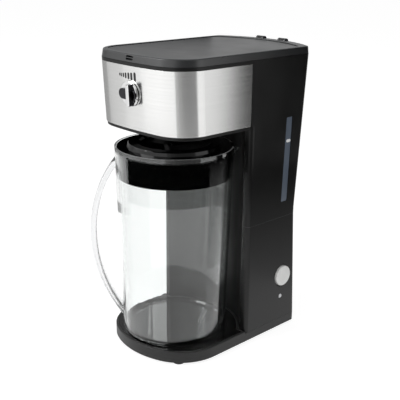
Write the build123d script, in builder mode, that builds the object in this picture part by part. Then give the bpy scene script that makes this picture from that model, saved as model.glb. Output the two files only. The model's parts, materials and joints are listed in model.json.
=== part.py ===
"""Iced tea maker: a brewing column with an overhanging head above a clear pitcher.

Frame: millimetres, origin on the table under the pitcher's axis, +Z up,
-Y towards the front, +X to the right as seen from the front.
"""

import os
from math import cos, radians, sin, sqrt

from build123d import *

os.makedirs("parts", exist_ok=True)

# ---------------------------------------------------------------- heights
foot_height = 3.0  # rubber feet below the base
base_height = 10.0  # side of the base up to its seam
tray_rise = 2.6  # pitcher tray above that seam
lower_height = 127.7  # lower column housing
collar_height = 7.3  # straight collar at the foot of the upper housing
pitcher_height = 212.4  # from the tray to the pitcher's rim
head_gap = 21.3  # from the pitcher's rim to the underside of the head
cover_thickness = 3.5  # cover that closes the head from below
panel_height = 64.4  # brushed steel front panel
top_lip = 3.4  # black lip of the housing above the panel
lid_gap = 0.3  # parting line under the lid
lid_height = 7.6  # side of the lid

# ---------------------------------------------------------------- plan
half_width = 70.0  # half the body's width at the base and at the lid
waist_inset = 0.6  # each side draws in by this much at the waist
base_front = 61.5  # front of the base, ahead of the pitcher's axis
base_bow = 94.0
base_corner = 54.0
head_front_low = 56.0  # front of the head at the panel's lower edge
head_lean = 3.5  # the panel leans forward by this much up to its top
head_bow = 410.0
head_corner = 35.0
lid_lean = 1.7  # the lid's side leans in by this much
wing_width = 10.0  # front face of each of the column's two wings
bay_gap = 11.0  # between the pitcher's rim and the hollow column front
wing_corner = 5.0
wing_edge = 2.0
rear_base = 149.4  # rear of the column at its foot, on the centre line
rear_waist = 142.2
rear_top = 154.0
rear_bow = 125.0
rear_corner = 5.0

# ---------------------------------------------------------------- walls and fits
housing_wall = 3.2
base_wall = 2.6
panel_thickness = 1.0
panel_play = 0.2
seat_play = 0.3  # between a loose piece and the wall that holds it
fit_play = 0.05  # running fit of shafts and pins, on the radius
lid_wall = 2.4
lid_skin = 2.2

# ---------------------------------------------------------------- pitcher
rim_radius = 64.0
foot_radius = 58.0
pitcher_wall = 2.6
pitcher_floor = 4.0
pitcher_edge = 2.5
seat_step = 0.8  # ledge inside the rim that carries the pitcher's lid
seat_depth = 6.0
handle_angle = 229.0  # direction of the handle, from +X towards +Y
handle_reach = 88.6  # middle of the grip, from the axis
handle_shoulder = 78.0  # a fifth of the way down
handle_elbow = 81.6  # a quarter of the way up
handle_top_drop = 17.0  # upper root below the rim
handle_foot_rise = 18.0  # lower root above the tray
handle_depth = 6.4
handle_width = 15.0
spout_angle = 49.0
spout_reach = 73.0
spout_radius = 11.0
spout_drop = 16.0
spout_droop = 7.5  # lip's tip below the rim
spout_wall = 2.0

# ---------------------------------------------------------------- pitcher lid
skirt_drop = 32.6  # skirt's lower edge below the rim
skirt_wall = 2.0
skirt_play = 0.35
crown_radius = 50.0
crown_rise = 4.0
dish_radius = 40.0
dish_drop = 2.0
drip_hole = 6.0
vent_length = 9.0
vent_width = 4.0
vent_angle = 321.0
strainer_slots = 7
strainer_pitch = 5.0  # degrees between slots
strainer_slot_width = 2.4
strainer_slot_height = 18.0

# ---------------------------------------------------------------- controls
knob_drop = 27.7  # knob axis below the panel's top edge
knob_radius = 13.0
knob_disc = 2.4
knob_standoff = 0.6
lobe_height = 10.8  # raised lobe across the knob's disc
lobe_rise = 2.0
grip_height = 21.6  # upright grip bar beside the axis
grip_width = 5.2
grip_offset = 6.0
grip_rise = 6.2
shaft_radius = 3.0
shaft_inner = 9.5  # shaft's inner end behind the panel's face
shutter_radius = 10.0
shutter_thickness = 2.0
clip_radius = 5.2
clip_thickness = 0.8
button_setback = 12.7  # button's centre behind the tank's front
button_z = 67.0
button_radius = 12.0
button_proud = 2.2
button_cap = 7.5
button_travel = 1.8  # stroke of the button
button_stem = 3.0
button_stem_length = 8.0
lamp_setback = 10.7
lamp_z = 41.5
lamp_radius = 2.8

# ---------------------------------------------------------------- brewing parts
basket_radius = 49.5
basket_taper = 8.0
basket_wall = 2.0
basket_flange = 3.5
basket_foot_gap = 10.0  # basket floor above the head's cover
deck_drop = 4.9  # deck's top below the housing's rim
deck_thickness = 2.4
ledge_height = 2.0
ledge_width = 2.5
outlet_radius = 4.5
outlet_wall = 1.8
tank_gap = 14.6  # between the column's hollow front wall and the tank
tank_wall = 1.8
tank_play = 0.7
tank_drop = 10.0  # tank's rim below the housing's rim
pipe_inset = 25.0  # plane of both hoses, from the left side
supply_setback = 29.2  # supply hose behind the tank's front
riser_gap = 4.6  # between the column's front wall and the riser
pipe_radius = 4.5
pipe_wall = 1.3
hose_play = 0.1
hose_wall = 1.9
hose_bend = 12.0
heater_z = 46.0
heater_bend_x = 18.0
element_radius = 3.5
spray_radius = 30.0
spray_wall = 1.6

# ---------------------------------------------------------------- worked out
base_z = foot_height
seam_z = base_z + base_height
tray_z = seam_z + tray_rise
waist_z = seam_z + lower_height
collar_z = waist_z + collar_height
rim_z = tray_z + pitcher_height
cover_z = rim_z + head_gap
panel_z = cover_z + cover_thickness
panel_top_z = panel_z + panel_height
rim_top_z = panel_top_z + top_lip
lid_z = rim_top_z + lid_gap
lid_top_z = lid_z + lid_height
deck_top_z = rim_top_z - deck_drop
deck_z = deck_top_z - deck_thickness
ceiling_z = lid_top_z - lid_skin
spray_z = lid_z - 1.0
bay_radius = rim_radius + bay_gap
column_front = sqrt(bay_radius**2 - (half_width - wing_width) ** 2)
tank_front = bay_radius + housing_wall + tank_gap
pipe_x = pipe_inset - half_width
supply_y = tank_front + supply_setback
tank_outer = housing_wall + tank_play  # tank's wall, in from the column's outside
far = 4 * (half_width + rear_top)  # longer than the body in every direction


def between(z, z_low, low, z_high, high):
    """Straight line from low at z_low to high at z_high."""
    return low + (high - low) * (z - z_low) / (z_high - z_low)


def rear_at(z):
    """Rear of the column on the centre line: it draws in at the waist."""
    if z <= waist_z:
        return between(z, seam_z, rear_base, waist_z, rear_waist)
    if z <= collar_z:
        return rear_waist
    return between(z, collar_z, rear_waist, rim_top_z, rear_top)


def half_at(z):
    """Half width of the column, drawn in slightly at the waist."""
    waist = half_width - waist_inset
    if z <= waist_z:
        return between(z, seam_z, half_width, waist_z, waist)
    if z <= collar_z:
        return waist
    return between(z, collar_z, waist, rim_top_z, half_width)


def front_at(z):
    """Front of the leaning head on the centre line, as a Y coordinate."""
    return -between(z, panel_z, head_front_low, panel_top_z, head_front_low + head_lean)


def draw_plan(sketch, front, rear, half, bow, corner, inset=0.0):
    """Plan outline: straight sides, bowed front and rear, rounded corners."""
    with Locations((0, (front + rear) / 2)):
        Rectangle(2 * (half - inset), rear - front - 2 * inset)
    with BuildSketch(mode=Mode.PRIVATE) as nose:
        with Locations((0, front + bow)):
            Circle(bow - inset)
        with Locations((0, front + bow + far / 2)):
            Rectangle(2 * (bow - inset), far)
    add(nose.sketch, mode=Mode.INTERSECT)
    with Locations((0, rear - rear_bow)):
        Circle(rear_bow - inset, mode=Mode.INTERSECT)
    fillet(sketch.vertices().group_by(Axis.Y)[0], corner - inset)
    fillet(sketch.vertices().group_by(Axis.Y)[-1], max(rear_corner - inset, rear_corner / 4))


def head_plan(z, inset=0.0):
    """Section of the head and the column behind it at height z."""
    with BuildSketch(Plane.XY.offset(z)) as section:
        draw_plan(section, front_at(z), rear_at(z), half_at(z), head_bow, head_corner, inset)
    return section.sketch


def column_plan(z, inset=0.0):
    """Section of the column alone, with its hollow front and two wings."""
    with BuildSketch(Plane.XY.offset(z)) as section:
        draw_plan(section, -base_front, rear_at(z), half_at(z), head_bow, head_corner, inset)
        with Locations((0, column_front + inset - far / 2)):
            Rectangle(far, far, mode=Mode.SUBTRACT)
        Circle(bay_radius + inset, mode=Mode.SUBTRACT)
        corners = section.vertices().group_by(Axis.Y)[0].sort_by(Axis.X)
        fillet([corners[0], corners[-1]], max(wing_corner - inset, wing_corner / 4))
        corners = section.vertices().group_by(Axis.Y)[0].sort_by(Axis.X)
        fillet([corners[1], corners[-2]], wing_edge / (1 + inset))
    return section.sketch


def tank_plan(z, inset):
    """Section of the water tank behind the hollow front wall."""
    with BuildSketch(Plane.XY.offset(z)) as section:
        draw_plan(section, -base_front, rear_at(z), half_at(z), head_bow, head_corner, inset)
        with Locations((0, tank_front + inset - tank_outer - far / 2)):
            Rectangle(far, far, mode=Mode.SUBTRACT)
        fillet(section.vertices().group_by(Axis.Y)[0], wing_corner)
    return section.sketch


def base_plan(z, inset=0.0):
    """Section of the base: a round nose under the pitcher."""
    with BuildSketch(Plane.XY.offset(z)) as section:
        draw_plan(section, -base_front, rear_base, half_width, base_bow, base_corner, inset)
    return section.sketch


def floor_plan(z, inset=0.0):
    """The part of the base's plan that the column leaves free."""
    with BuildSketch(Plane.XY.offset(z)) as section:
        draw_plan(section, -base_front, rear_base, half_width, base_bow, base_corner, inset)
        with BuildSketch(mode=Mode.PRIVATE) as behind:
            with Locations((0, column_front - inset + far / 2)):
                Rectangle(far, far)
            Circle(bay_radius - seat_play - inset, mode=Mode.SUBTRACT)
        add(behind.sketch, mode=Mode.SUBTRACT)
    return section.sketch


def side_plane(setback, z):
    """Plane on the outside of the right wall, seen from the right."""
    return Plane(origin=(half_at(z), tank_front + setback, z), x_dir=(0, 1, 0), z_dir=(1, 0, 0))


def write(part, name):
    """Label one finished piece and write its STEP file."""
    part.label = name
    export_step(part, f"parts/{name}.step")


def ring(plane, outer, inner, length):
    """A tube along a plane's normal, starting on the plane."""
    with BuildPart() as tube:
        with BuildSketch(plane):
            Circle(outer)
            Circle(inner, mode=Mode.SUBTRACT)
        extrude(amount=length)
    return tube.part


# ---------------------------------------------------------------- base
post_inset = 3.0  # screw posts inside the column's side walls
post_setback = 7.0  # front pair behind the column's front walls
post_rear_inset = 32.5
post_x = half_width - housing_wall - post_inset
post_front_y = column_front + housing_wall + post_setback
post_rear_y = rear_base - post_rear_inset
housing_posts = [(x, y) for x in (-post_x, post_x) for y in (post_front_y, post_rear_y)]
plate_post_places = ((44, -26), (26, 118))
plate_posts = [(side * x, y) for side in (-1, 1) for x, y in plate_post_places]
screw_radius = 1.6
screw_head = 3.2  # radius
screw_head_height = 1.4
screw_bore = screw_radius + fit_play
base_edge = 0.8  # chamfer round the base's top
tray_rim = 3.0  # base's rim round the tray
tray_skin = 0.2  # base's floor under the tray
plate_post_wall = 2.4
bracket_bore = 12.0
bore_spare = 2.0  # bore below the screw's end
rib_width = 2.4
rib_setback = 6.0  # ribs left of the heater's bend
element_weld = 0.6  # between the heater's tube and its element
base_floor_z = seam_z - base_wall
bracket_x = 2.0
riser_y = bay_radius + housing_wall + pipe_radius + riser_gap
bracket_y = (supply_y + riser_y) / 2
bracket_z = heater_z + pipe_radius
element_drop = pipe_radius + element_radius + element_weld
bracket_post = 6.0

with BuildPart() as base:
    extrude(base_plan(base_z), amount=base_height)
    extrude(floor_plan(seam_z), amount=tray_rise)
    outer_top = base.edges().filter_by(Plane.XY).group_by(Axis.Z)[-1]
    chamfer(outer_top, base_edge)
    extrude(base_plan(base_z, base_wall), amount=base_height - base_wall, mode=Mode.SUBTRACT)
    extrude(floor_plan(tray_z, tray_rim), amount=-(tray_rise - tray_skin), mode=Mode.SUBTRACT)
    with BuildSketch(Plane.XY.offset(base_floor_z)):
        with Locations(*housing_posts):
            Circle(screw_bore)
    extrude(amount=base_wall, mode=Mode.SUBTRACT)
    with BuildSketch(Plane.XY.offset(base_z + base_wall)):
        with Locations(*plate_posts):
            Circle(screw_radius + plate_post_wall)
    extrude(amount=base_height - 2 * base_wall)
    with BuildSketch(Plane.XY.offset(base_z + base_wall)):
        with Locations(*plate_posts):
            Circle(screw_bore)
    extrude(amount=base_height - 2 * base_wall, mode=Mode.SUBTRACT)
    with BuildSketch(Plane.XY.offset(seam_z)):
        with Locations((bracket_x, bracket_y)):
            Circle(bracket_post)
    extrude(amount=bracket_z - seam_z)
    with BuildSketch(Plane.XY.offset(bracket_z)):
        with Locations((bracket_x, bracket_y)):
            Circle(screw_bore)
    extrude(amount=-bracket_bore, mode=Mode.SUBTRACT)
    # two ribs that carry the heater
    with BuildSketch(Plane.XY.offset(seam_z)):
        with Locations(*[(heater_bend_x - rib_setback, y) for y in (riser_y, supply_y)]):
            Rectangle(rib_width, 2 * pipe_radius)
    extrude(amount=heater_z - element_drop - element_radius - seam_z)
write(base.part, "base")

# Glossy tray under the pitcher, let into the base, with one shallow ring.
tray_inset = tray_rim + seat_play
groove_radius = foot_radius + 2.0
groove_width = 1.2
groove_depth = 0.5
with BuildPart() as pitcher_tray:
    extrude(floor_plan(tray_z, tray_inset), amount=-(tray_rise - tray_skin))
    with BuildSketch(Plane.XY.offset(tray_z)):
        Circle(groove_radius)
        Circle(groove_radius - groove_width, mode=Mode.SUBTRACT)
    extrude(amount=-groove_depth, mode=Mode.SUBTRACT)
write(pitcher_tray.part, "pitcher_tray")

# ---------------------------------------------------------------- bottom plate, feet, screws
rubber_radius = 6.5
rubber_taper = 6  # degrees
foot_stem = 2.6
stem_head = 1.0  # stem's end above the plate
head_recess = 1.2  # screw heads lie this deep in the plate
vent_slot = (26, 2.2)
vent_rows = (117, 122)
foot_places = [(0, 0)]  # one under the pitcher, six round the edge
edge_feet = ((48, -36), (59, 38), (46, 112))
foot_places += [(x * side, y) for side in (-1, 1) for x, y in edge_feet]
with BuildPart() as bottom_plate:
    extrude(base_plan(base_z, base_wall + seat_play), amount=base_wall)
    with BuildSketch(Plane.XY.offset(base_z)):
        with Locations(*plate_posts):
            Circle(screw_bore)
        with Locations(*foot_places):
            Circle(foot_stem + fit_play)
    extrude(amount=base_wall, mode=Mode.SUBTRACT)
    with BuildSketch(Plane.XY.offset(base_z)):
        with Locations(*plate_posts):
            Circle(screw_head + seat_play)
    extrude(amount=head_recess, mode=Mode.SUBTRACT)
    with BuildSketch(Plane.XY.offset(base_z)):
        with Locations(*[(0, row) for row in vent_rows]):
            SlotOverall(*vent_slot)
    extrude(amount=base_wall, mode=Mode.SUBTRACT)
write(bottom_plate.part, "bottom_plate")

with BuildPart() as rubber_feet:
    with BuildSketch():
        with Locations(*foot_places):
            Circle(rubber_radius)
    extrude(amount=foot_height, taper=rubber_taper)
    with BuildSketch(Plane.XY.offset(foot_height)):
        with Locations(*foot_places):
            Circle(foot_stem)
    extrude(amount=base_wall + stem_head)
write(rubber_feet.part, "rubber_feet")


drive_length = 3.4
drive_width = 0.8
drive_corner = 0.3
plate_screw_length = 5.8
housing_screw_length = 12.0


def screws(places, head_z, length):
    """Pan head screws with a cross recess that point up, one solid each."""
    with BuildPart() as group:
        with BuildSketch(Plane.XY.offset(head_z)):
            with Locations(*places):
                Circle(screw_head)
        extrude(amount=-screw_head_height)
        with BuildSketch(Plane.XY.offset(head_z)):
            with Locations(*places):
                Circle(screw_radius)
        extrude(amount=length)
        with BuildSketch(Plane.XY.offset(head_z - screw_head_height)):
            with Locations(*places):
                RectangleRounded(drive_length, drive_width, drive_corner)
                RectangleRounded(drive_width, drive_length, drive_corner)
        extrude(amount=screw_head_height / 2, mode=Mode.SUBTRACT)
    return group.part


write(screws(plate_posts, base_z + head_recess, plate_screw_length), "plate_screws")
write(screws(housing_posts, base_floor_z, housing_screw_length), "housing_screws")

# ---------------------------------------------------------------- lower column housing
hole_gap = 0.4  # round the button and the pipes
button_hole = button_radius + hole_gap
boss_length = 7.0
boss_wall = 2.2
dish_width = 1.6  # shallow dish round the button
dish_depth = 0.9
screw_post = 4.2  # radius
screw_post_height = 24.0
screw_post_bore = 14.0
gland_z = seam_z + 17.0
gland_radius = 6.0
shelf_thickness = 2.5  # top of the lower housing
shelf_z = waist_z - shelf_thickness
cut = 2 * housing_wall  # cutters start this far outside a wall
button_plane = side_plane(button_setback, button_z)
lamp_plane = side_plane(lamp_setback, lamp_z)
guide_end = housing_wall + boss_length - 1.0  # inner end of the button's guide
gland_plane = Plane(origin=(0, rear_at(gland_z), gland_z), x_dir=(1, 0, 0), z_dir=(0, 1, 0))

with BuildPart() as lower_housing:
    loft([column_plan(seam_z), column_plan(waist_z)], ruled=True)
    loft(
        [column_plan(seam_z, housing_wall), column_plan(shelf_z, housing_wall)],
        ruled=True,
        mode=Mode.SUBTRACT,
    )
    # screw posts that stand on the base
    with BuildSketch(Plane.XY.offset(seam_z)):
        with Locations(*housing_posts):
            Circle(screw_post)
    extrude(amount=screw_post_height)
    with BuildSketch(Plane.XY.offset(seam_z)):
        with Locations(*housing_posts):
            Circle(screw_bore)
    extrude(amount=screw_post_bore, mode=Mode.SUBTRACT)
    # button opening with its guide tube and a shallow dish around it
    with BuildSketch(button_plane.offset(-guide_end)):
        Circle(button_hole + boss_wall)
    extrude(amount=boss_length)
    with BuildSketch(button_plane.offset(cut)):
        Circle(button_hole)
    extrude(amount=-cut - 2 * guide_end, mode=Mode.SUBTRACT)
    with BuildSketch(button_plane.offset(-dish_depth)):
        Circle(button_hole)
    with BuildSketch(button_plane.offset(dish_depth / 2)):
        Circle(button_hole + dish_width)
    loft(mode=Mode.SUBTRACT)
    with BuildSketch(lamp_plane.offset(cut)):
        Circle(lamp_radius + fit_play)
    extrude(amount=-2 * cut, mode=Mode.SUBTRACT)
    # openings for the cord gland and for the two water pipes
    with BuildSketch(gland_plane.offset(cut)):
        Circle(gland_radius + fit_play)
    extrude(amount=-2 * cut, mode=Mode.SUBTRACT)
    with BuildSketch(Plane.XY.offset(shelf_z)):
        with Locations((pipe_x, supply_y), (pipe_x, riser_y)):
            Circle(pipe_radius + hole_gap)
    extrude(amount=2 * shelf_thickness, both=True, mode=Mode.SUBTRACT)
write(lower_housing.part, "lower_housing")

# ---------------------------------------------------------------- upper housing
knob_z = panel_top_z - knob_drop
knob_plane = Plane(
    origin=(0, front_at(knob_z), knob_z), x_dir=(1, 0, 0), z_dir=(0, -panel_height, -head_lean)
)
panel_stop = 1.2  # the panel's rear edges stop this far ahead of the wings
panel_end = column_front - panel_stop
recess_depth = panel_thickness + panel_play
ledge_bite = 0.2  # ledges and bosses start this far inside their wall
bearing_wall = 2.2
bearing_depth = 1.0  # knob's bearing behind the front wall
window_height = 96.0
window_width = 9.7
window_z = 158.5
window_y = tank_front + 4.8
window_lean = 3.2
window_play = 0.05
window_depth = 0.5  # window's back behind the wall's inside
window_corner = 1.2
hinge_inset = 3.8
hinge_drop = 1.0
hinge_y = rear_top - hinge_inset
hinge_z = lid_top_z - hinge_drop
knuckle_radius = 3.5
pin_radius = 1.5
ear_root = 0.5  # ears start this far inside the rear wall
ear_thickness = 2.6
ear_setback = 0.8
ear_width = 5.0
ear_x = 16.6
ear_play = 0.5  # at each side of an ear
knuckle_width = 3.0  # lid's knuckle beside each face of an ear


def window_outline(play=0.0):
    """Tall narrow window in the side wall, leaning back with the column."""
    with BuildSketch(Plane.YZ.offset(half_width - housing_wall - window_depth)) as outline:
        with BuildLine():
            Polyline(
                (window_y - play, window_z - play),
                (window_y + window_width + play, window_z - play),
                (window_y + window_width + window_lean + play, window_z + window_height + play),
                (window_y + window_lean - play, window_z + window_height + play),
                close=True,
            )
        make_face()
        fillet(outline.vertices(), window_corner + play)
    return outline.sketch


with BuildPart() as upper_housing:
    loft([column_plan(waist_z), column_plan(collar_z)], ruled=True)
    loft([column_plan(collar_z), column_plan(panel_z)], ruled=True)
    loft([head_plan(panel_z), head_plan(rim_top_z)], ruled=True)
    # the hollow inside: the column below, the head above
    for sections in (
        [column_plan(waist_z, housing_wall), column_plan(collar_z, housing_wall)],
        [column_plan(collar_z, housing_wall), column_plan(panel_z, housing_wall)],
        [head_plan(panel_z, housing_wall), head_plan(rim_top_z, housing_wall)],
    ):
        loft(sections, ruled=True, mode=Mode.SUBTRACT)
    # the recess that the steel panel lies in
    with BuildPart(mode=Mode.PRIVATE) as recess:
        loft([head_plan(z, -panel_thickness) for z in (panel_z, panel_top_z)], ruled=True)
        inner = [head_plan(z, recess_depth) for z in (panel_z, panel_top_z)]
        loft(inner, ruled=True, mode=Mode.SUBTRACT)
        with BuildSketch(Plane.XY.offset(panel_z)):
            with Locations((0, panel_end + panel_play + far / 2)):
                Rectangle(far, far)
        extrude(amount=panel_height, mode=Mode.SUBTRACT)
    add(recess.part, mode=Mode.SUBTRACT)
    extrude(window_outline(window_play), amount=cut, both=True, mode=Mode.SUBTRACT)
    # ledge that carries the deck
    with BuildPart(mode=Mode.PRIVATE) as ledge:
        extrude(head_plan(deck_z - ledge_height, housing_wall - ledge_bite), amount=ledge_height)
        inner = head_plan(deck_z - ledge_height, housing_wall + ledge_width)
        extrude(inner, amount=ledge_height, mode=Mode.SUBTRACT)
    add(ledge.part)
    # bearing for the strength knob's shaft
    with BuildSketch(knob_plane.offset(-housing_wall - bearing_depth)):
        Circle(shaft_radius + bearing_wall)
    extrude(amount=2 * bearing_depth)
    with BuildSketch(knob_plane):
        Circle(shaft_radius + fit_play)
    extrude(amount=2 * cut, both=True, mode=Mode.SUBTRACT)
    # hinge ears on the rear wall
    for side in (-1, 1):
        ear = Plane.YZ.offset(side * ear_x - ear_width / 2)
        with BuildSketch(ear):
            with Locations((hinge_y, hinge_z)):
                Circle(knuckle_radius)
            with Locations((hinge_y + ear_setback, (hinge_z + rim_top_z - ear_root) / 2)):
                Rectangle(ear_thickness, hinge_z - rim_top_z + ear_root)
            with Locations((hinge_y, hinge_z)):
                Circle(pin_radius + fit_play / 2, mode=Mode.SUBTRACT)
        extrude(amount=ear_width)
write(upper_housing.part, "upper_housing")

# ---------------------------------------------------------------- steel panel and head cover
panel_hole_play = 1.2  # round the knob's shaft
with BuildPart() as front_panel:
    loft([head_plan(panel_z), head_plan(panel_top_z)], ruled=True)
    inner = [head_plan(z, panel_thickness) for z in (panel_z, panel_top_z)]
    loft(inner, ruled=True, mode=Mode.SUBTRACT)
    with BuildSketch(Plane.XY.offset(panel_z)):
        with Locations((0, panel_end + far / 2)):
            Rectangle(far, far)
    extrude(amount=panel_height, mode=Mode.SUBTRACT)
    with BuildSketch(knob_plane):
        Circle(shaft_radius + panel_hole_play)
    extrude(amount=2 * panel_thickness, both=True, mode=Mode.SUBTRACT)
write(front_panel.part, "front_panel")

collar_outer = 16.0
collar_wall_gap = 2.2  # between the collar and the basket's outlet
collar_drop = 3.5
cover_inset = 1.0
with BuildPart() as head_cover:
    extrude(head_plan(cover_z, cover_inset), amount=cover_thickness)
    with BuildSketch(Plane.XY.offset(cover_z)):
        with Locations((0, column_front - seat_play + far / 2)):
            Rectangle(far, far)
        Circle(bay_radius - seat_play, mode=Mode.SUBTRACT)
    extrude(amount=cover_thickness, mode=Mode.SUBTRACT)
    with BuildSketch(Plane.XY.offset(cover_z - collar_drop)):
        Circle(collar_outer)
    extrude(amount=collar_drop)
    with BuildSketch(Plane.XY.offset(cover_z - collar_drop)):
        Circle(outlet_radius + outlet_wall + collar_wall_gap)
    extrude(amount=collar_drop + cover_thickness, mode=Mode.SUBTRACT)
write(head_cover.part, "head_cover")

# ---------------------------------------------------------------- sight window and tank
window_recess = 0.4
with BuildPart() as sight_window:
    extrude(window_outline(), amount=housing_wall - window_recess)
write(sight_window.part, "sight_window")

tank_z = waist_z
tank_top_z = rim_top_z - tank_drop
nipple_length = 14.0
with BuildPart() as water_tank:
    loft([tank_plan(tank_z, tank_outer), tank_plan(tank_top_z, tank_outer)], ruled=True)
    with BuildSketch(Plane.XY.offset(tank_z)):
        with Locations((pipe_x, supply_y)):
            Circle(pipe_radius)
    extrude(amount=-nipple_length)
    inner = tank_outer + tank_wall
    hollow = [tank_plan(tank_z + tank_wall, inner), tank_plan(tank_top_z, inner)]
    loft(hollow, ruled=True, mode=Mode.SUBTRACT)
    with BuildSketch(Plane.XY.offset(tank_z + tank_wall)):
        with Locations((pipe_x, supply_y)):
            Circle(pipe_radius - pipe_wall)
    extrude(amount=-nipple_length - tank_wall, mode=Mode.SUBTRACT)
write(water_tank.part, "water_tank")

# ---------------------------------------------------------------- deck under the lid
basket_gap = 1.0
deck_hole = basket_radius + basket_gap
deck_play = 0.6
fill_side = 18.0  # filling opening, in from the body's sides
fill_corner = 6.0
fill_setback = 6.0  # filling opening, behind the tank's front
fill_rear_inset = 20.0
fill_front = tank_front + fill_setback
fill_rear = rear_top - fill_rear_inset
with BuildPart() as top_deck:
    extrude(head_plan(deck_z, housing_wall + deck_play), amount=deck_thickness)
    with BuildSketch(Plane.XY.offset(deck_z)):
        Circle(deck_hole)
        with Locations((pipe_x, riser_y)):
            Circle(pipe_radius + seat_play)
    extrude(amount=deck_thickness, mode=Mode.SUBTRACT)
    with BuildSketch(Plane.XY.offset(deck_z)):
        with Locations((0, (fill_front + fill_rear) / 2)):
            RectangleRounded(2 * (half_width - fill_side), fill_rear - fill_front, fill_corner)
    extrude(amount=deck_thickness, mode=Mode.SUBTRACT)
write(top_deck.part, "top_deck")

# ---------------------------------------------------------------- brew basket and filter
basket_floor_z = cover_z + basket_foot_gap
basket_foot_radius = basket_radius - basket_taper
basket_slope = 1.5  # rise of the basket's floor towards its wall
outlet_outer = outlet_radius + outlet_wall
outlet_lift = 0.6  # outlet's end above the cover's underside
outlet_z = cover_z + outlet_lift
flange_top_z = deck_top_z + basket_wall
port_radius = 1.6
port_circle = 6.0
port_reach = 6.0  # cutters start this far inside the basket's wall
with BuildPart() as brew_basket:
    with BuildSketch(Plane.XZ):
        with BuildLine():
            Polyline(
                (outlet_radius, outlet_z),
                (outlet_outer, outlet_z),
                (outlet_outer, basket_floor_z),
                (basket_foot_radius, basket_floor_z + basket_slope),
                (basket_radius, deck_top_z),
                (basket_radius + basket_flange, deck_top_z),
                (basket_radius + basket_flange, flange_top_z),
                (basket_radius - basket_wall, flange_top_z),
                (basket_foot_radius - basket_wall, basket_floor_z + basket_slope + basket_wall),
                (outlet_radius, basket_floor_z + basket_wall),
                close=True,
            )
        make_face()
    revolve(axis=Axis.Z)
    # bypass ports that the strength shutter covers
    with BuildSketch(Plane.XZ.offset(basket_foot_radius - basket_wall - port_reach)):
        with Locations((0, knob_z)):
            with PolarLocations(port_circle, 3, start_angle=-90, angular_range=180):
                Circle(port_radius)
    extrude(amount=port_reach + 2 * basket_taper, mode=Mode.SUBTRACT)
write(brew_basket.part, "brew_basket")

frame_play = 0.5
frame_wall = 1.4
frame_rim = 1.2  # thickness of the frame's rim on the basket
frame_flange = 3.0
frame_lift = 3.0  # frame's floor above the basket's
frame_top_z = flange_top_z + frame_rim
frame_foot_z = basket_floor_z + basket_wall + frame_lift
frame_radius = basket_radius - basket_wall - frame_play
frame_taper = 0.6  # the frame stands off the basket by this much more at its foot
frame_foot_radius = basket_foot_radius - basket_wall - frame_play - frame_taper
cutout_count = 6
cutout_width = 16.0
cutout_offset = 2.0
cutout_depth = 0.75 * frame_foot_radius
cutout_low = 6.0  # cutouts start this far above the frame's floor
cutout_high = 9.0  # and end this far below the basket's flange
with BuildPart() as filter_frame:
    with BuildSketch(Plane.XZ):
        with BuildLine():
            Polyline(
                (0, frame_foot_z),
                (frame_foot_radius, frame_foot_z),
                (frame_radius, flange_top_z),
                (frame_radius + frame_flange, flange_top_z),
                (frame_radius + frame_flange, frame_top_z),
                (frame_radius - frame_wall, frame_top_z),
                (frame_foot_radius - frame_wall, frame_foot_z + frame_wall),
                (0, frame_foot_z + frame_wall),
                close=True,
            )
        make_face()
    revolve(axis=Axis.Z)
    with BuildSketch(Plane.XY.offset(frame_foot_z + cutout_low)):
        with PolarLocations(frame_foot_radius + cutout_offset, cutout_count):
            Rectangle(cutout_width, cutout_depth)
    extrude(amount=flange_top_z - cutout_high - frame_foot_z - cutout_low, mode=Mode.SUBTRACT)
write(filter_frame.part, "filter_frame")

mesh_play = 0.2
mesh_wall = 0.5
mesh_foot_z = frame_foot_z + frame_wall + mesh_play
mesh_foot = frame_foot_radius - frame_wall - mesh_play
mesh_drop = 3.0  # mesh's edge below the frame's rim
mesh_taper = 0.3
mesh_top_z = frame_top_z - mesh_drop
mesh_top = frame_radius - frame_wall - mesh_play - mesh_taper
with BuildPart() as filter_mesh:
    with BuildSketch(Plane.XZ):
        with BuildLine():
            Polyline(
                (0, mesh_foot_z),
                (mesh_foot, mesh_foot_z),
                (mesh_top, mesh_top_z),
                (mesh_top - mesh_wall, mesh_top_z),
                (mesh_foot - mesh_wall, mesh_foot_z + mesh_wall),
                (0, mesh_foot_z + mesh_wall),
                close=True,
            )
        make_face()
    revolve(axis=Axis.Z)
write(filter_mesh.part, "filter_mesh")

# ---------------------------------------------------------------- heater and water path
heater_bend = (supply_y - riser_y) / 2
hose_end = 4.0  # heater's legs start this far past the hose's bend
hose_grip = 10.0  # length of heater leg inside a hose
element_gap = 6.0  # free tube between the hose and the element
leg_start = pipe_x + hose_bend + hose_end
element_start = leg_start + hose_grip + element_gap
weld_width = 2.4
pin_length = 9.0  # element's terminal pins
terminal_radius = 1.4
hose_inner = pipe_radius + hose_play
hose_outer = hose_inner + hose_wall


def heater_path(start_x):
    """U of the heater in plan, open to the left, at the water tube's height."""
    with BuildLine(Plane.XY.offset(heater_z)) as path:
        Line((start_x, riser_y), (heater_bend_x, riser_y))
        tip = (heater_bend_x + heater_bend, (riser_y + supply_y) / 2)
        ThreePointArc((heater_bend_x, riser_y), tip, (heater_bend_x, supply_y))
        Line((heater_bend_x, supply_y), (start_x, supply_y))
    return path.wires()[0]


def leg_plane(start_x):
    """Plane across the first leg of the heater's U."""
    return Plane(origin=(start_x, riser_y, heater_z), x_dir=(0, 1, 0), z_dir=(1, 0, 0))


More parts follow.
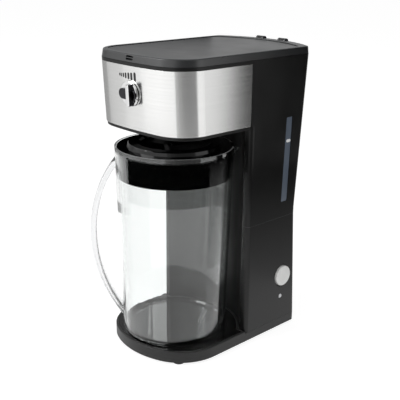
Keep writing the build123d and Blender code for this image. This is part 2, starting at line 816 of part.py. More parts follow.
with BuildPart() as heater:
    with BuildSketch(leg_plane(leg_start)):
        Circle(pipe_radius)
    sweep(path=heater_path(leg_start))
    with BuildSketch(leg_plane(element_start)):
        with Locations((0, -element_drop)):
            Circle(element_radius)
        with Locations((0, -element_drop / 2)):
            Rectangle(weld_width, element_drop)
    sweep(path=heater_path(element_start))
    for leg_y in (riser_y, supply_y):
        pin_plane = Plane(
            origin=(element_start, leg_y, heater_z - element_drop), x_dir=(0, 1, 0), z_dir=(-1, 0, 0)
        )
        with BuildSketch(pin_plane):
            Circle(terminal_radius)
        extrude(amount=pin_length)
    with BuildSketch(leg_plane(leg_start)):
        Circle(pipe_radius - pipe_wall)
    sweep(path=heater_path(leg_start), mode=Mode.SUBTRACT)
write(heater.part, "heater")

strap_width = 12.0
strap = 1.5
lip_gap = 0.9  # between the heater's tube and the bracket's lips
lip_overlap = 2.0  # lips reach this far past the tube's middle
lip_height = pipe_radius + lip_overlap
strap_ends = 16.0  # strap's length beyond the heater's two legs
lip_places = (riser_y - pipe_radius - lip_gap - strap, supply_y + pipe_radius + lip_gap)
with BuildPart() as heater_bracket:
    with BuildSketch(Plane.XY.offset(bracket_z)):
        with Locations((bracket_x, bracket_y)):
            RectangleRounded(strap_width, supply_y - riser_y + strap_ends, strap)
    extrude(amount=strap)
    with BuildSketch(Plane.XY.offset(bracket_z)):
        with Locations((bracket_x, bracket_y)):
            Circle(screw_bore)
    extrude(amount=strap, mode=Mode.SUBTRACT)
    for lip_y in lip_places:
        with BuildSketch(Plane.XY.offset(bracket_z)):
            with Locations((bracket_x, lip_y + strap / 2)):
                Rectangle(strap_width, strap)
        extrude(amount=-lip_height)
write(heater_bracket.part, "heater_bracket")

with BuildPart() as bracket_screw:
    with BuildSketch(Plane.XY.offset(bracket_z + strap)):
        with Locations((bracket_x, bracket_y)):
            Circle(screw_head)
    extrude(amount=screw_head_height)
    with BuildSketch(Plane.XY.offset(bracket_z + strap)):
        with Locations((bracket_x, bracket_y)):
            Circle(screw_radius)
    extrude(amount=-(bracket_bore - bore_spare))
write(bracket_screw.part, "bracket_screw")

thermostat_radius = 6.5
thermostat_height = 5.0
thermostat_offset = 3.5
thermostat_y = riser_y + thermostat_offset
blade = (0.8, 4.0)  # thickness and width of a flat terminal
blade_length = 6.0
with BuildPart() as thermostat:
    with BuildSketch(Plane.XY.offset(bracket_z + strap)):
        with Locations((bracket_x, thermostat_y)):
            Circle(thermostat_radius)
    extrude(amount=thermostat_height)
    with BuildSketch(Plane.XY.offset(bracket_z + strap + thermostat_height)):
        with Locations((bracket_x, thermostat_y)):
            with GridLocations(thermostat_radius + blade[0], 0, 2, 1):
                Rectangle(*blade)
    extrude(amount=blade_length)
write(thermostat.part, "thermostat")

fuse_radius = 2.0
fuse_length = 14.0
fuse_lead = 4.0
fuse_spacing = 5.5
with BuildPart() as thermal_fuses:
    for fuse_y in (supply_y - fuse_spacing, supply_y):
        fuse_plane = Plane(
            origin=(bracket_x - fuse_length / 2, fuse_y, bracket_z + strap + fuse_radius),
            x_dir=(0, 1, 0),
            z_dir=(1, 0, 0),
        )
        with BuildSketch(fuse_plane):
            Circle(fuse_radius)
        extrude(amount=fuse_length)
        with BuildSketch(fuse_plane.offset(-fuse_lead)):
            Circle(fuse_radius / 4)
        extrude(amount=fuse_length + 2 * fuse_lead)
write(thermal_fuses.part, "thermal_fuses")

# supply hose, check valve and heater hose stand in line under the tank's outlet
hose_run = 14.0  # free hose between the tank's nipple and the valve
hose_gap = 0.8  # hose's end below the shelf
tank_hose_low = tank_z - nipple_length - hose_run
valve_body = 12.0
valve_radius = 7.2
valve_edge = 1.2
valve_spigot = 11.0
valve_top = tank_hose_low
valve_low = valve_top - valve_body
supply_plane = Plane(origin=(pipe_x, supply_y, tank_hose_low))
write(ring(supply_plane, hose_outer, hose_inner, shelf_z - hose_gap - tank_hose_low), "tank_hose")

with BuildPart() as check_valve:
    with BuildSketch(Plane.XY.offset(valve_low)):
        with Locations((pipe_x, supply_y)):
            Circle(valve_radius)
    extrude(amount=valve_body)
    chamfer(check_valve.edges().filter_by(GeomType.CIRCLE), valve_edge)
    with BuildSketch(Plane.XY.offset(valve_low - valve_spigot)):
        with Locations((pipe_x, supply_y)):
            Circle(pipe_radius)
    extrude(amount=valve_body + 2 * valve_spigot)
    with BuildSketch(Plane.XY.offset(valve_low - valve_spigot)):
        with Locations((pipe_x, supply_y)):
            Circle(pipe_radius - pipe_wall)
    extrude(amount=valve_body + 2 * valve_spigot, mode=Mode.SUBTRACT)
write(check_valve.part, "check_valve")


def elbow_path(leg_y, top_z):
    """From a vertical run at pipe_x down and round to the heater's leg."""
    with BuildLine(Plane.XZ.offset(-leg_y)) as path:
        FilletPolyline(
            (pipe_x, top_z), (pipe_x, heater_z), (leg_start + hose_grip, heater_z), radius=hose_bend
        )
    return path.wires()[0]


def elbow_hose(leg_y, top_z, outer, inner):
    """Bent hose from a vertical run to one leg of the heater."""
    path = elbow_path(leg_y, top_z)
    start = Plane(origin=(pipe_x, leg_y, top_z), z_dir=(0, 0, -1))
    with BuildPart() as hose:
        with BuildSketch(start):
            Circle(outer)
        sweep(path=path)
        with BuildSketch(start):
            Circle(inner)
        sweep(path=path, mode=Mode.SUBTRACT)
    return hose.part


riser_join = heater_z + 34.0  # upper end of the riser's hose
riser_overlap = 12.0  # riser tube inside that hose
write(elbow_hose(supply_y, valve_low, hose_outer, hose_inner), "heater_hose")
write(elbow_hose(riser_y, riser_join, hose_outer, hose_inner), "riser_hose")

riser_drop = 1.6  # riser's end below the housing's rim
riser_top_z = rim_top_z - riser_drop
riser_foot_z = riser_join - riser_overlap
riser_plane = Plane(origin=(pipe_x, riser_y, riser_foot_z))
write(ring(riser_plane, pipe_radius, pipe_radius - pipe_wall, riser_top_z - riser_foot_z), "riser_tube")

clamp_width = 5.0
clamp_inset = 3.0  # clamp's edge from the hose's end
clamp_tab_gap = 0.4
clamp_wall = 1.0
clamp_inner = hose_outer + hose_play
clamp_tab = 3.6
clamp_tab_wall = 0.9
clamp_tab_pitch = 3.0
clamp_heights = [
    (supply_y, shelf_z - clamp_inset - clamp_width),
    (supply_y, tank_hose_low + clamp_inset),
    (supply_y, valve_low - clamp_inset - clamp_width),
    (riser_y, riser_join - clamp_inset - clamp_width),
]
with BuildPart() as hose_clamps:
    for clamp_y, clamp_z in clamp_heights:
        add(ring(Plane((pipe_x, clamp_y, clamp_z)), clamp_inner + clamp_wall, clamp_inner, clamp_width))
        with BuildSketch(Plane.XY.offset(clamp_z)):
            with Locations((pipe_x + clamp_inner + clamp_tab / 2 + clamp_tab_gap, clamp_y)):
                with GridLocations(0, clamp_tab_pitch, 1, 2):
                    Rectangle(clamp_tab, clamp_tab_wall)
        extrude(amount=clamp_width)
write(hose_clamps.part, "hose_clamps")

seal_foot_z = deck_top_z
seal_wall = 2.6
seal_gap = 0.2  # under the shower plate
seal_height = spray_z - deck_top_z - seal_gap
seal_plane = Plane(origin=(pipe_x, riser_y, seal_foot_z))
write(ring(seal_plane, pipe_radius + seal_wall, pipe_radius + fit_play, seal_height), "riser_seal")

# ---------------------------------------------------------------- power switch, button, lamp, gland
switch_plate = (22.0, 29.0)
switch_plate_thickness = 3.0
switch_body = (15.0, 20.0)
switch_depth = 15.0
switch_corner = 1.5
stem_play = 0.08
stem_bore = button_stem_length + button_travel  # room for the pressed stem
terminal_pitch = 8.0
with BuildPart() as power_switch:
    with BuildSketch(button_plane.offset(-guide_end)):
        RectangleRounded(*switch_plate, switch_corner)
    extrude(amount=-switch_plate_thickness)
    with BuildSketch(button_plane.offset(-guide_end)):
        RectangleRounded(*switch_body, switch_corner)
    extrude(amount=-switch_depth)
    with BuildSketch(button_plane.offset(-guide_end)):
        Circle(button_stem + stem_play)
    extrude(amount=-stem_bore, mode=Mode.SUBTRACT)
    with BuildSketch(button_plane.offset(-guide_end - switch_depth)):
        with GridLocations(terminal_pitch, terminal_pitch, 2, 2):
            Rectangle(*blade)
    extrude(amount=-blade_length)
write(power_switch.part, "power_switch")

button_edge = 1.4
with BuildPart() as power_button:
    with BuildSketch(button_plane.offset(button_proud)):
        Circle(button_radius)
    extrude(amount=-button_cap)
    fillet(power_button.edges().group_by(Axis.X)[-1], button_edge)
    with BuildSketch(button_plane.offset(button_proud - button_cap)):
        Circle(button_stem)
    extrude(amount=-button_stem_length)
write(power_button.part, "power_button")

lamp_proud = 0.4
lamp_dome = 1.6
lamp_flange = 1.6
lamp_back = housing_wall + 0.2
lamp_tail = 7.0
with BuildPart() as indicator_lamp:
    with BuildSketch(lamp_plane.offset(lamp_proud)):
        Circle(lamp_radius)
    extrude(amount=-lamp_proud - lamp_back)
    fillet(indicator_lamp.edges().group_by(Axis.X)[-1], lamp_dome)
    with BuildSketch(lamp_plane.offset(-lamp_back)):
        Circle(lamp_radius + lamp_flange)
    extrude(amount=-lamp_flange)
    with BuildSketch(lamp_plane.offset(-lamp_back - lamp_flange)):
        Circle(lamp_radius - 0.4)
    extrude(amount=-lamp_tail)
write(indicator_lamp.part, "indicator_lamp")

gland_bore = 3.4
gland_flange = 8.0  # radius
gland_hood = 3.0
gland_taper = 8  # degrees
gland_play = 0.6
gland_nut = 2.4
gland_neck = 0.4
with BuildPart() as cord_gland:
    with BuildSketch(gland_plane.offset(gland_play)):
        Circle(gland_flange)
    extrude(amount=gland_hood, taper=gland_taper)
    with BuildSketch(gland_plane.offset(gland_play)):
        Circle(gland_radius)
    extrude(amount=-housing_wall - 2 * gland_play - gland_neck)
    with BuildSketch(gland_plane.offset(-housing_wall - gland_play)):
        Circle(gland_flange)
    extrude(amount=-gland_nut)
    with BuildSketch(gland_plane):
        Circle(gland_bore)
    extrude(amount=2 * cut, both=True, mode=Mode.SUBTRACT)
write(cord_gland.part, "cord_gland")

# ---------------------------------------------------------------- top lid with its hinge
notch_width = 11.0
notch_height = 4.4
notch_depth = 4.0
notch_bar = 0.7  # thin bar across the notch
notch_wall = 2.5
notch_block = 7.0  # depth of the solid behind the notch
notch_corner = 1.2
notch_lift = 1.2  # solid's foot above the lid's edge
lid_edge = 1.4  # rounding round the lid's top
lid_recess = 0.8
recess_front = 6.0  # recess inside the lid's front and side edges
recess_rear = 14.0
recess_corner = head_corner - 1.5 * recess_front
relief_half = 0.6 * half_width
ear_slot = (19.4, 20.0)
ear_slot_offset = (5.0, -3.0)  # slot's centre from the hinge's axis
relief_height = 2.2
relief_z = lid_z + relief_height
relief_setback = 0.6  # relief starts this far behind the hinge's axis
pin_reach = knuckle_width - 0.4  # pin's blind hole, from an ear's face


def lid_plan(z, inset=0.0):
    """Section of the lid: its side leans in above the seam."""
    lean = between(z, lid_z, 0.0, lid_top_z, lid_lean)
    side = between(z, lid_z, 0.1, lid_top_z, 0.9)  # the other sides lean in less
    with BuildSketch(Plane.XY.offset(z)) as section:
        draw_plan(
            section,
            front_at(rim_top_z) + 0.2 + lean,
            rear_top - side,
            half_width - side,
            head_bow,
            head_corner - lean,
            inset,
        )
    return section.sketch


with BuildPart() as top_lid:
    loft([lid_plan(lid_z), lid_plan(lid_top_z)], ruled=True)
    fillet(top_lid.faces().sort_by(Axis.Z)[-1].edges(), lid_edge)
    loft([lid_plan(lid_z, lid_wall), lid_plan(ceiling_z, lid_wall)], ruled=True, mode=Mode.SUBTRACT)
    with BuildSketch(Plane.XY.offset(lid_top_z)) as panel:
        draw_plan(
            panel,
            front_at(rim_top_z) + lid_lean + recess_front,
            rear_top - recess_rear,
            half_width - recess_front,
            head_bow,
            recess_corner,
        )
    extrude(amount=-lid_recess, mode=Mode.SUBTRACT)
    # finger notch at the front, with solid walls behind it
    notch_y = front_at(rim_top_z) + lid_lean / 2
    with BuildSketch(Plane.XY.offset(lid_z + notch_lift)):
        with Locations((0, notch_y + lid_wall + notch_wall)):
            Rectangle(notch_width + 2 * notch_wall, notch_block)
    extrude(amount=ceiling_z - lid_z)
    with BuildSketch(Plane.XZ.offset(-notch_y - notch_depth)):
        with Locations((0, lid_top_z - lid_edge - notch_height / 2)):
            RectangleRounded(notch_width, notch_height, notch_corner)
            Rectangle(notch_width + notch_corner, notch_bar, mode=Mode.SUBTRACT)
    extrude(amount=2 * notch_depth + notch_wall, mode=Mode.SUBTRACT)
    # the rear wall is relieved where it swings past the housing
    with BuildSketch(Plane.XY.offset(lid_z - 1.0)):
        with Locations((0, hinge_y + relief_setback + far / 2)):
            Rectangle(2 * relief_half, far)
    extrude(amount=relief_z - lid_z + 1.0, mode=Mode.SUBTRACT)
    # slots for the housing's ears, and the lid's own knuckles beside them
    for side in (-1, 1):
        with BuildSketch(Plane.YZ.offset(side * ear_x - ear_width / 2 - knuckle_width)):
            with Locations((hinge_y, hinge_z)):
                Circle(knuckle_radius)
        extrude(amount=ear_width + 2 * knuckle_width)
        with BuildSketch(Plane.YZ.offset(side * ear_x - ear_width / 2 - ear_play)):
            with Locations((hinge_y + ear_slot_offset[0], hinge_z + ear_slot_offset[1])):
                Rectangle(*ear_slot)
        extrude(amount=ear_width + 2 * ear_play, mode=Mode.SUBTRACT)
        with BuildSketch(Plane.YZ.offset(side * ear_x - ear_width / 2 - pin_reach)):
            with Locations((hinge_y, hinge_z)):
                Circle(pin_radius + fit_play)
        extrude(amount=ear_width + 2 * pin_reach, mode=Mode.SUBTRACT)
write(top_lid.part, "top_lid")

with BuildPart() as hinge_pins:
    for side in (-1, 1):
        with BuildSketch(Plane.YZ.offset(side * ear_x - ear_width / 2 - pin_reach + 0.1)):
            with Locations((hinge_y, hinge_z)):
                Circle(pin_radius)
        extrude(amount=ear_width + 2 * pin_reach - 0.2)
write(hinge_pins.part, "hinge_pins")

# Shower plate and duct under the lid, fed by the riser when the lid is shut.
spray_hole = 1.3
spray_rows = ((10.0, 6), (21.0, 10))  # radius and number of holes
duct_half = 7.0
inlet_wall = 4.6


def spray_outline(plane, inset):
    """Round shower plate joined to the inlet by a straight duct."""
    with BuildSketch(plane) as outline:
        Circle(spray_radius - inset)
        with Locations((pipe_x, riser_y)):
            Circle(pipe_radius + inlet_wall - inset)
        with BuildLine(mode=Mode.PRIVATE) as middle:
            Line((0, 0), (pipe_x, riser_y))
        trace(middle.line, 2 * (duct_half - inset))
    return outline.sketch


with BuildPart() as spray_head:
    extrude(spray_outline(Plane.XY.offset(spray_z), 0.0), amount=ceiling_z - spray_z)
    extrude(
        spray_outline(Plane.XY.offset(ceiling_z), spray_wall),
        amount=-(ceiling_z - spray_z - spray_wall),
        mode=Mode.SUBTRACT,
    )
    with BuildSketch(Plane.XY.offset(spray_z)):
        for row_radius, count in spray_rows:
            with PolarLocations(row_radius, count):
                Circle(spray_hole)
        with Locations((pipe_x, riser_y)):
            Circle(pipe_radius - 0.4)
    extrude(amount=spray_wall, mode=Mode.SUBTRACT)
write(spray_head.part, "spray_head")

# ---------------------------------------------------------------- strength knob and shutter
disc_face = knob_standoff + knob_disc
shaft_drop = 1.2  # shaft's end below the lobe's face
shaft_end = disc_face + lobe_rise - shaft_drop
disc_edge = 1.0
lobe_edge = 0.8
grip_edge = 0.9
grip_corner = 1.6
shaft_end_play = 0.2
shaft_press = 0.04  # knob, clip and shutter on the shaft
root = 0.5  # raised forms start this far inside what carries them
with BuildPart() as strength_knob:
    with BuildSketch(knob_plane.offset(knob_standoff)):
        Circle(knob_radius)
    extrude(amount=knob_disc)
    fillet(strength_knob.faces().sort_by(Axis.Y)[0].edges(), disc_edge)
    with BuildSketch(knob_plane.offset(disc_face - root)):
        SlotOverall(2 * knob_radius, lobe_height)
    extrude(amount=lobe_rise + root)
    fillet(strength_knob.faces().sort_by(Axis.Y)[0].edges(), lobe_edge)
    with BuildSketch(knob_plane.offset(disc_face - root)):
        with Locations((grip_offset, 0)):
            RectangleRounded(grip_width, grip_height, grip_corner)
    extrude(amount=grip_rise + root)
    fillet(strength_knob.faces().sort_by(Axis.Y)[0].edges(), grip_edge)
    with BuildSketch(knob_plane.offset(knob_standoff)):
        Circle(shaft_radius + shaft_press)
    extrude(amount=shaft_end + shaft_end_play - knob_standoff, mode=Mode.SUBTRACT)
write(strength_knob.part, "strength_knob")

with BuildPart() as selector_shaft:
    with BuildSketch(knob_plane.offset(-shaft_inner)):
        Circle(shaft_radius)
    extrude(amount=shaft_inner + shaft_end)
write(selector_shaft.part, "selector_shaft")

clip_play = 0.2
clip_depth = housing_wall + bearing_depth + clip_play
clip_gap = 3.0
with BuildPart() as shaft_clip:
    with BuildSketch(knob_plane.offset(-clip_depth)):
        Circle(clip_radius)
        Circle(shaft_radius + shaft_press, mode=Mode.SUBTRACT)
        with Locations((0, -clip_radius)):
            Rectangle(clip_gap, 2 * clip_radius - 2.0, mode=Mode.SUBTRACT)
    extrude(amount=-clip_thickness)
write(shaft_clip.part, "shaft_clip")

shutter_hole = 1.8
shutter_rim = 3.6  # holes' centres, in from the shutter's edge
shutter_circle = shutter_radius - shutter_rim
with BuildPart() as strength_shutter:
    with BuildSketch(knob_plane.offset(-shaft_inner)):
        Circle(shutter_radius)
        Circle(shaft_radius + shaft_press, mode=Mode.SUBTRACT)
        with PolarLocations(shutter_circle, 3, start_angle=-90, angular_range=110):
            Circle(shutter_hole, mode=Mode.SUBTRACT)
    extrude(amount=shutter_thickness)
write(strength_shutter.part, "strength_shutter")

# ---------------------------------------------------------------- pitcher
wall_slope = (rim_radius - foot_radius) / pitcher_height


def outer_radius(z):
    """Outside of the pitcher's tapered wall."""
    return foot_radius + (z - tray_z) * wall_slope


inner_foot_z = tray_z + pitcher_floor
inner_edge = 2.0  # rounding step inside at the floor
handle_corner = 2.6
foot_ring = 9.0  # width of the ring the pitcher stands on
foot_hollow = 1.2
ledge_z = rim_z - seat_depth
handle_plane = Plane(
    origin=(0, 0, 0),
    x_dir=(cos(radians(handle_angle)), sin(radians(handle_angle)), 0),
    z_dir=(sin(radians(handle_angle)), -cos(radians(handle_angle)), 0),
)
handle_top_z = rim_z - handle_top_drop
handle_foot_z = tray_z + handle_foot_rise
spout_x = cos(radians(spout_angle))
spout_y = sin(radians(spout_angle))
spout_centre = spout_reach - spout_radius
spout_plane = Plane(origin=(0, 0, 0), x_dir=(spout_x, spout_y, 0), z_dir=(spout_y, -spout_x, 0))
lip_inset = 1.0
spout_inset = 5.0  # spout's foot starts this far inside the rim
lip_start = rim_radius - lip_inset
spout_root = rim_radius - spout_inset
foot_hollow_taper = 20  # degrees

with BuildPart() as pitcher:
    # solid outside: tapered body, arched handle, flared spout
    with BuildSketch(Plane.XZ):
        with BuildLine():
            Polyline(
                (0, tray_z),
                (foot_radius - pitcher_edge, tray_z),
                (outer_radius(tray_z + pitcher_edge), tray_z + pitcher_edge),
                (rim_radius, rim_z),
                (0, rim_z),
                close=True,
            )
        make_face()
    revolve(axis=Axis.Z)
    with BuildLine(handle_plane) as arch:
        Spline(
            (outer_radius(handle_top_z) - pitcher_wall / 2, handle_top_z),
            (handle_shoulder, between(0.15, 0, handle_top_z, 1, handle_foot_z)),
            (handle_reach, between(0.43, 0, handle_top_z, 1, handle_foot_z)),
            (handle_elbow, between(0.73, 0, handle_top_z, 1, handle_foot_z)),
            (outer_radius(handle_foot_z) - pitcher_wall / 2, handle_foot_z),
        )
    with BuildSketch(Plane(arch.line @ 0, x_dir=handle_plane.z_dir, z_dir=arch.line % 0)):
        RectangleRounded(handle_width, handle_depth, handle_corner)
    sweep(path=arch.line)
    spout_low = Plane.XY.offset(rim_z - spout_drop)
    with BuildSketch(spout_low):
        with Locations((spout_x * spout_root, spout_y * spout_root)):
            Circle(spout_wall)
    with BuildSketch(Plane.XY.offset(rim_z)):
        with Locations((spout_x * spout_centre, spout_y * spout_centre)):
            Circle(spout_radius)
    loft(ruled=True)
    # hollow: inside of the wall, the seat for the lid, the channel of the spout
    with BuildSketch(Plane.XZ):
        with BuildLine():
            Polyline(
                (0, inner_foot_z),
                (outer_radius(inner_foot_z) - pitcher_wall - inner_edge, inner_foot_z),
                (outer_radius(inner_foot_z + inner_edge) - pitcher_wall, inner_foot_z + inner_edge),
                (outer_radius(ledge_z) - pitcher_wall, ledge_z),
                (outer_radius(ledge_z) - pitcher_wall + seat_step, ledge_z),
                (rim_radius - pitcher_wall + seat_step, rim_z),
                (0, rim_z),
                close=True,
            )
        make_face()
    revolve(axis=Axis.Z, mode=Mode.SUBTRACT)
    with BuildSketch(spout_low.offset(spout_wall)):
        with Locations((spout_x * (spout_root - lip_inset), spout_y * (spout_root - lip_inset))):
            Circle(spout_wall / 2)
    with BuildSketch(Plane.XY.offset(rim_z)):
        with Locations((spout_x * spout_centre, spout_y * spout_centre)):
            Circle(spout_radius - spout_wall)
    loft(ruled=True, mode=Mode.SUBTRACT)
    # the spout's lip droops towards its tip
    with BuildSketch(spout_plane) as droop:
        with BuildLine():
            Polyline(
                (lip_start, rim_z),
                (spout_reach, rim_z - spout_droop),
                (2 * spout_reach - lip_start, rim_z - 2 * spout_droop),
                (2 * spout_reach - lip_start, rim_z + spout_droop),
                (lip_start, rim_z + spout_droop),
                close=True,
            )
        make_face()
    extrude(amount=2 * spout_radius, both=True, mode=Mode.SUBTRACT)
    # shallow hollow under the floor
    with BuildSketch(Plane.XY.offset(tray_z)):
        Circle(foot_radius - foot_ring)
    extrude(amount=foot_hollow, taper=foot_hollow_taper, mode=Mode.SUBTRACT)
write(pitcher.part, "pitcher")

# ---------------------------------------------------------------- pitcher lid
skirt_z = rim_z - skirt_drop
plug_radius = outer_radius(ledge_z) - pitcher_wall + seat_step - skirt_play
neck_radius = outer_radius(ledge_z) - pitcher_wall - skirt_play
skirt_radius = outer_radius(skirt_z) - pitcher_wall - skirt_play
plate = 2.4
plug_z = rim_z - 0.4  # lid's flat edge, just below the rim
crown_edge = 1.0
dish_slope = 2.0
dish_ramp = 4.0
vent_inset = 5.0
vent_circle = dish_radius - vent_inset
crown_z = rim_z + crown_rise
slot_drop = 3.0  # slots' tops below the ledge
slot_z = ledge_z - slot_drop - strainer_slot_height / 2
slot_start = skirt_radius - 8.0  # cutters start inside the skirt
slot_cut = 14.0
slot_corner = 1.0
with BuildPart() as pitcher_lid:
    with BuildSketch(Plane.XZ):
        with BuildLine():
            Polyline(
                (drip_hole, crown_z - dish_drop - dish_slope),
                (dish_radius - dish_ramp, crown_z - dish_drop),
                (dish_radius, crown_z),
                (crown_radius - crown_edge, crown_z),
                (crown_radius, crown_z - crown_edge),
                (crown_radius + crown_edge, plug_z),
                (plug_radius, plug_z),
                (plug_radius, ledge_z),
                (neck_radius, ledge_z),
                (skirt_radius, skirt_z),
                (skirt_radius - skirt_wall, skirt_z),
                (neck_radius - skirt_wall, ledge_z - 0.5),
                (crown_radius - 2 * crown_edge, plug_z - plate),
                (crown_radius - 3 * crown_edge, crown_z - plate),
                (dish_radius + crown_edge, crown_z - plate),
                (dish_radius - dish_ramp + crown_edge, crown_z - dish_drop - plate),
                (drip_hole, crown_z - dish_drop - dish_slope - plate),
                close=True,
            )
        make_face()
    revolve(axis=Axis.Z)
    # oval vent near the front
    vent_x = vent_circle * cos(radians(vent_angle))
    vent_y = vent_circle * sin(radians(vent_angle))
    with BuildSketch(Plane.XY.offset(skirt_z + skirt_drop / 2)):
        with Locations(Location((vent_x, vent_y, 0), (0, 0, 1), vent_angle + 90)):
            SlotOverall(vent_length, vent_width)
    extrude(amount=skirt_drop, mode=Mode.SUBTRACT)
    # strainer slots behind the spout
    first = spout_angle - strainer_pitch * (strainer_slots - 1) / 2
    for number in range(strainer_slots):
        angle = radians(first + number * strainer_pitch)
        slot_plane = Plane(
            origin=(cos(angle) * slot_start, sin(angle) * slot_start, slot_z),
            x_dir=(-sin(angle), cos(angle), 0),
            z_dir=(cos(angle), sin(angle), 0),
        )
        with BuildSketch(slot_plane):
            RectangleRounded(strainer_slot_width, strainer_slot_height, slot_corner)
        extrude(amount=slot_cut, mode=Mode.SUBTRACT)
write(pitcher_lid.part, "pitcher_lid")
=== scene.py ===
"""Looks of the iced tea maker: materials, softened edges, small details, lights and camera."""

import json
import math

import bmesh
import bpy
from mathutils import Matrix, Vector
from mathutils.bvhtree import BVHTree


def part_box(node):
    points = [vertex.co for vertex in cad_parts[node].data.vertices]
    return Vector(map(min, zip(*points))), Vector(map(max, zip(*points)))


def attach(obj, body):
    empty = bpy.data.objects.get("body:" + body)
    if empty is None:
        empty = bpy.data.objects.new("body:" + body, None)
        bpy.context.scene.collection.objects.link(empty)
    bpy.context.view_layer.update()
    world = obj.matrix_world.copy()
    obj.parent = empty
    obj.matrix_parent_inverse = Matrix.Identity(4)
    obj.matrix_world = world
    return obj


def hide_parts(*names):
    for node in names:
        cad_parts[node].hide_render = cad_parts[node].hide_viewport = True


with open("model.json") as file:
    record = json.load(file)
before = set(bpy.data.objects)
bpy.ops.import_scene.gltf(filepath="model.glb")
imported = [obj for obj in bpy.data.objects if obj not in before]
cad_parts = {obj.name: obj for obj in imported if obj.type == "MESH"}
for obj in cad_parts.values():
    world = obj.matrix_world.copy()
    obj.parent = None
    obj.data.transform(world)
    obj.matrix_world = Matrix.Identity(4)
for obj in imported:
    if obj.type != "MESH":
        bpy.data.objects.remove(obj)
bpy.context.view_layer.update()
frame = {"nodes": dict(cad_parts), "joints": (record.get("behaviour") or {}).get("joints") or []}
MM = 0.001

# ---------------------------------------------------------------- materials

NOISE_RANGE = (0.2, 0.8)  # noise values between which a ramp runs from low to high
TINT_RANGE = (0.22, 0.78)  # noise values between which a tint runs from dark to light


def new_material(name):
    """A material with an empty tree and an output; returns it with its tree."""
    mat = bpy.data.materials.new(name)
    mat.use_nodes = True
    tree = mat.node_tree
    tree.nodes.clear()
    return mat, tree


def add(tree, kind, **values):
    """A node; values go to its properties, or to its inputs by name with _ for a space."""
    node = tree.nodes.new(kind)
    for key, value in values.items():
        if hasattr(node, key):
            setattr(node, key, value)
        else:
            node.inputs[key.replace("_", " ")].default_value = value
    return node


def link(tree, a, out, b, into):
    tree.links.new(a.outputs[out], b.inputs[into])


def coordinates(tree, scale=(1, 1, 1)):
    """Object coordinates in metres, scaled."""
    place = add(tree, "ShaderNodeTexCoord")
    mapping = add(tree, "ShaderNodeMapping")
    mapping.inputs["Scale"].default_value = scale
    link(tree, place, "Object", mapping, "Vector")
    return mapping


def noise(tree, source, scale, detail, rough=0.55):
    texture = add(tree, "ShaderNodeTexNoise")
    texture.inputs["Scale"].default_value = scale
    texture.inputs["Detail"].default_value = detail
    texture.inputs["Roughness"].default_value = rough
    link(tree, source, "Vector", texture, "Vector")
    return texture


def ramp(tree, source, out, low, high, start=NOISE_RANGE[0], end=NOISE_RANGE[1]):
    """Turns a noise value into a value from low to high."""
    node = add(tree, "ShaderNodeMapRange")
    node.inputs["From Min"].default_value = start
    node.inputs["From Max"].default_value = end
    node.inputs["To Min"].default_value = low
    node.inputs["To Max"].default_value = high
    link(tree, source, out, node, "Value")
    return node


def tint(tree, source, out, dark, light):
    """Turns a noise value into a colour between dark and light."""
    node = add(tree, "ShaderNodeValToRGB")
    for stop, position, colour in zip(node.color_ramp.elements, TINT_RANGE, (dark, light)):
        stop.position = position
        stop.color = (*colour, 1)
    link(tree, source, out, node, "Fac")
    return node


def bump(tree, source, out, strength, distance):
    node = add(tree, "ShaderNodeBump")
    node.inputs["Strength"].default_value = strength
    node.inputs["Distance"].default_value = distance
    link(tree, source, out, node, "Height")
    return node


def surface(tree, shader):
    output = add(tree, "ShaderNodeOutputMaterial")
    link(tree, shader, 0, output, "Surface")


COAT_ROUGHNESS = 0.08
GRAIN_BUMP = 0.35


def moulded(
    name, dark, light, rough, grain=2600.0, depth=0.02 * MM, cloud=22.0, coat=0.0, specular=0.5
):
    """Moulded plastic or rubber: fine grain, slow changes of sheen, faint uneven colour."""
    mat, tree = new_material(name)
    space = coordinates(tree)
    fine = noise(tree, space, grain, 3.0)
    slow = noise(tree, space, cloud, 3.0)
    shader = add(tree, "ShaderNodeBsdfPrincipled")
    link(tree, tint(tree, slow, "Fac", dark, light), "Color", shader, "Base Color")
    link(tree, ramp(tree, slow, "Fac", *rough), "Result", shader, "Roughness")
    link(tree, bump(tree, fine, "Fac", GRAIN_BUMP, depth), "Normal", shader, "Normal")
    shader.inputs["Coat Weight"].default_value = coat
    shader.inputs["Coat Roughness"].default_value = COAT_ROUGHNESS
    shader.inputs["Specular IOR Level"].default_value = specular
    surface(tree, shader)
    return mat


SCRATCH_SCALE = (2.0, 2.0, 1500.0)  # long round the Z axis, fine along it
SCRATCH_BUMP = 0.25
SCRATCH_DEPTH = 0.02 * MM
BROAD_SCALE = 0.4  # broader scratches, against the fine ones
BROAD_SHARE = 0.45
SHEEN_SCALE = 9.0
SHEEN_CHANGE = (-0.02, 0.03)
ANISOTROPY = 0.7
QUARTER_TURN = 0.25  # of the direction in which reflections are drawn out


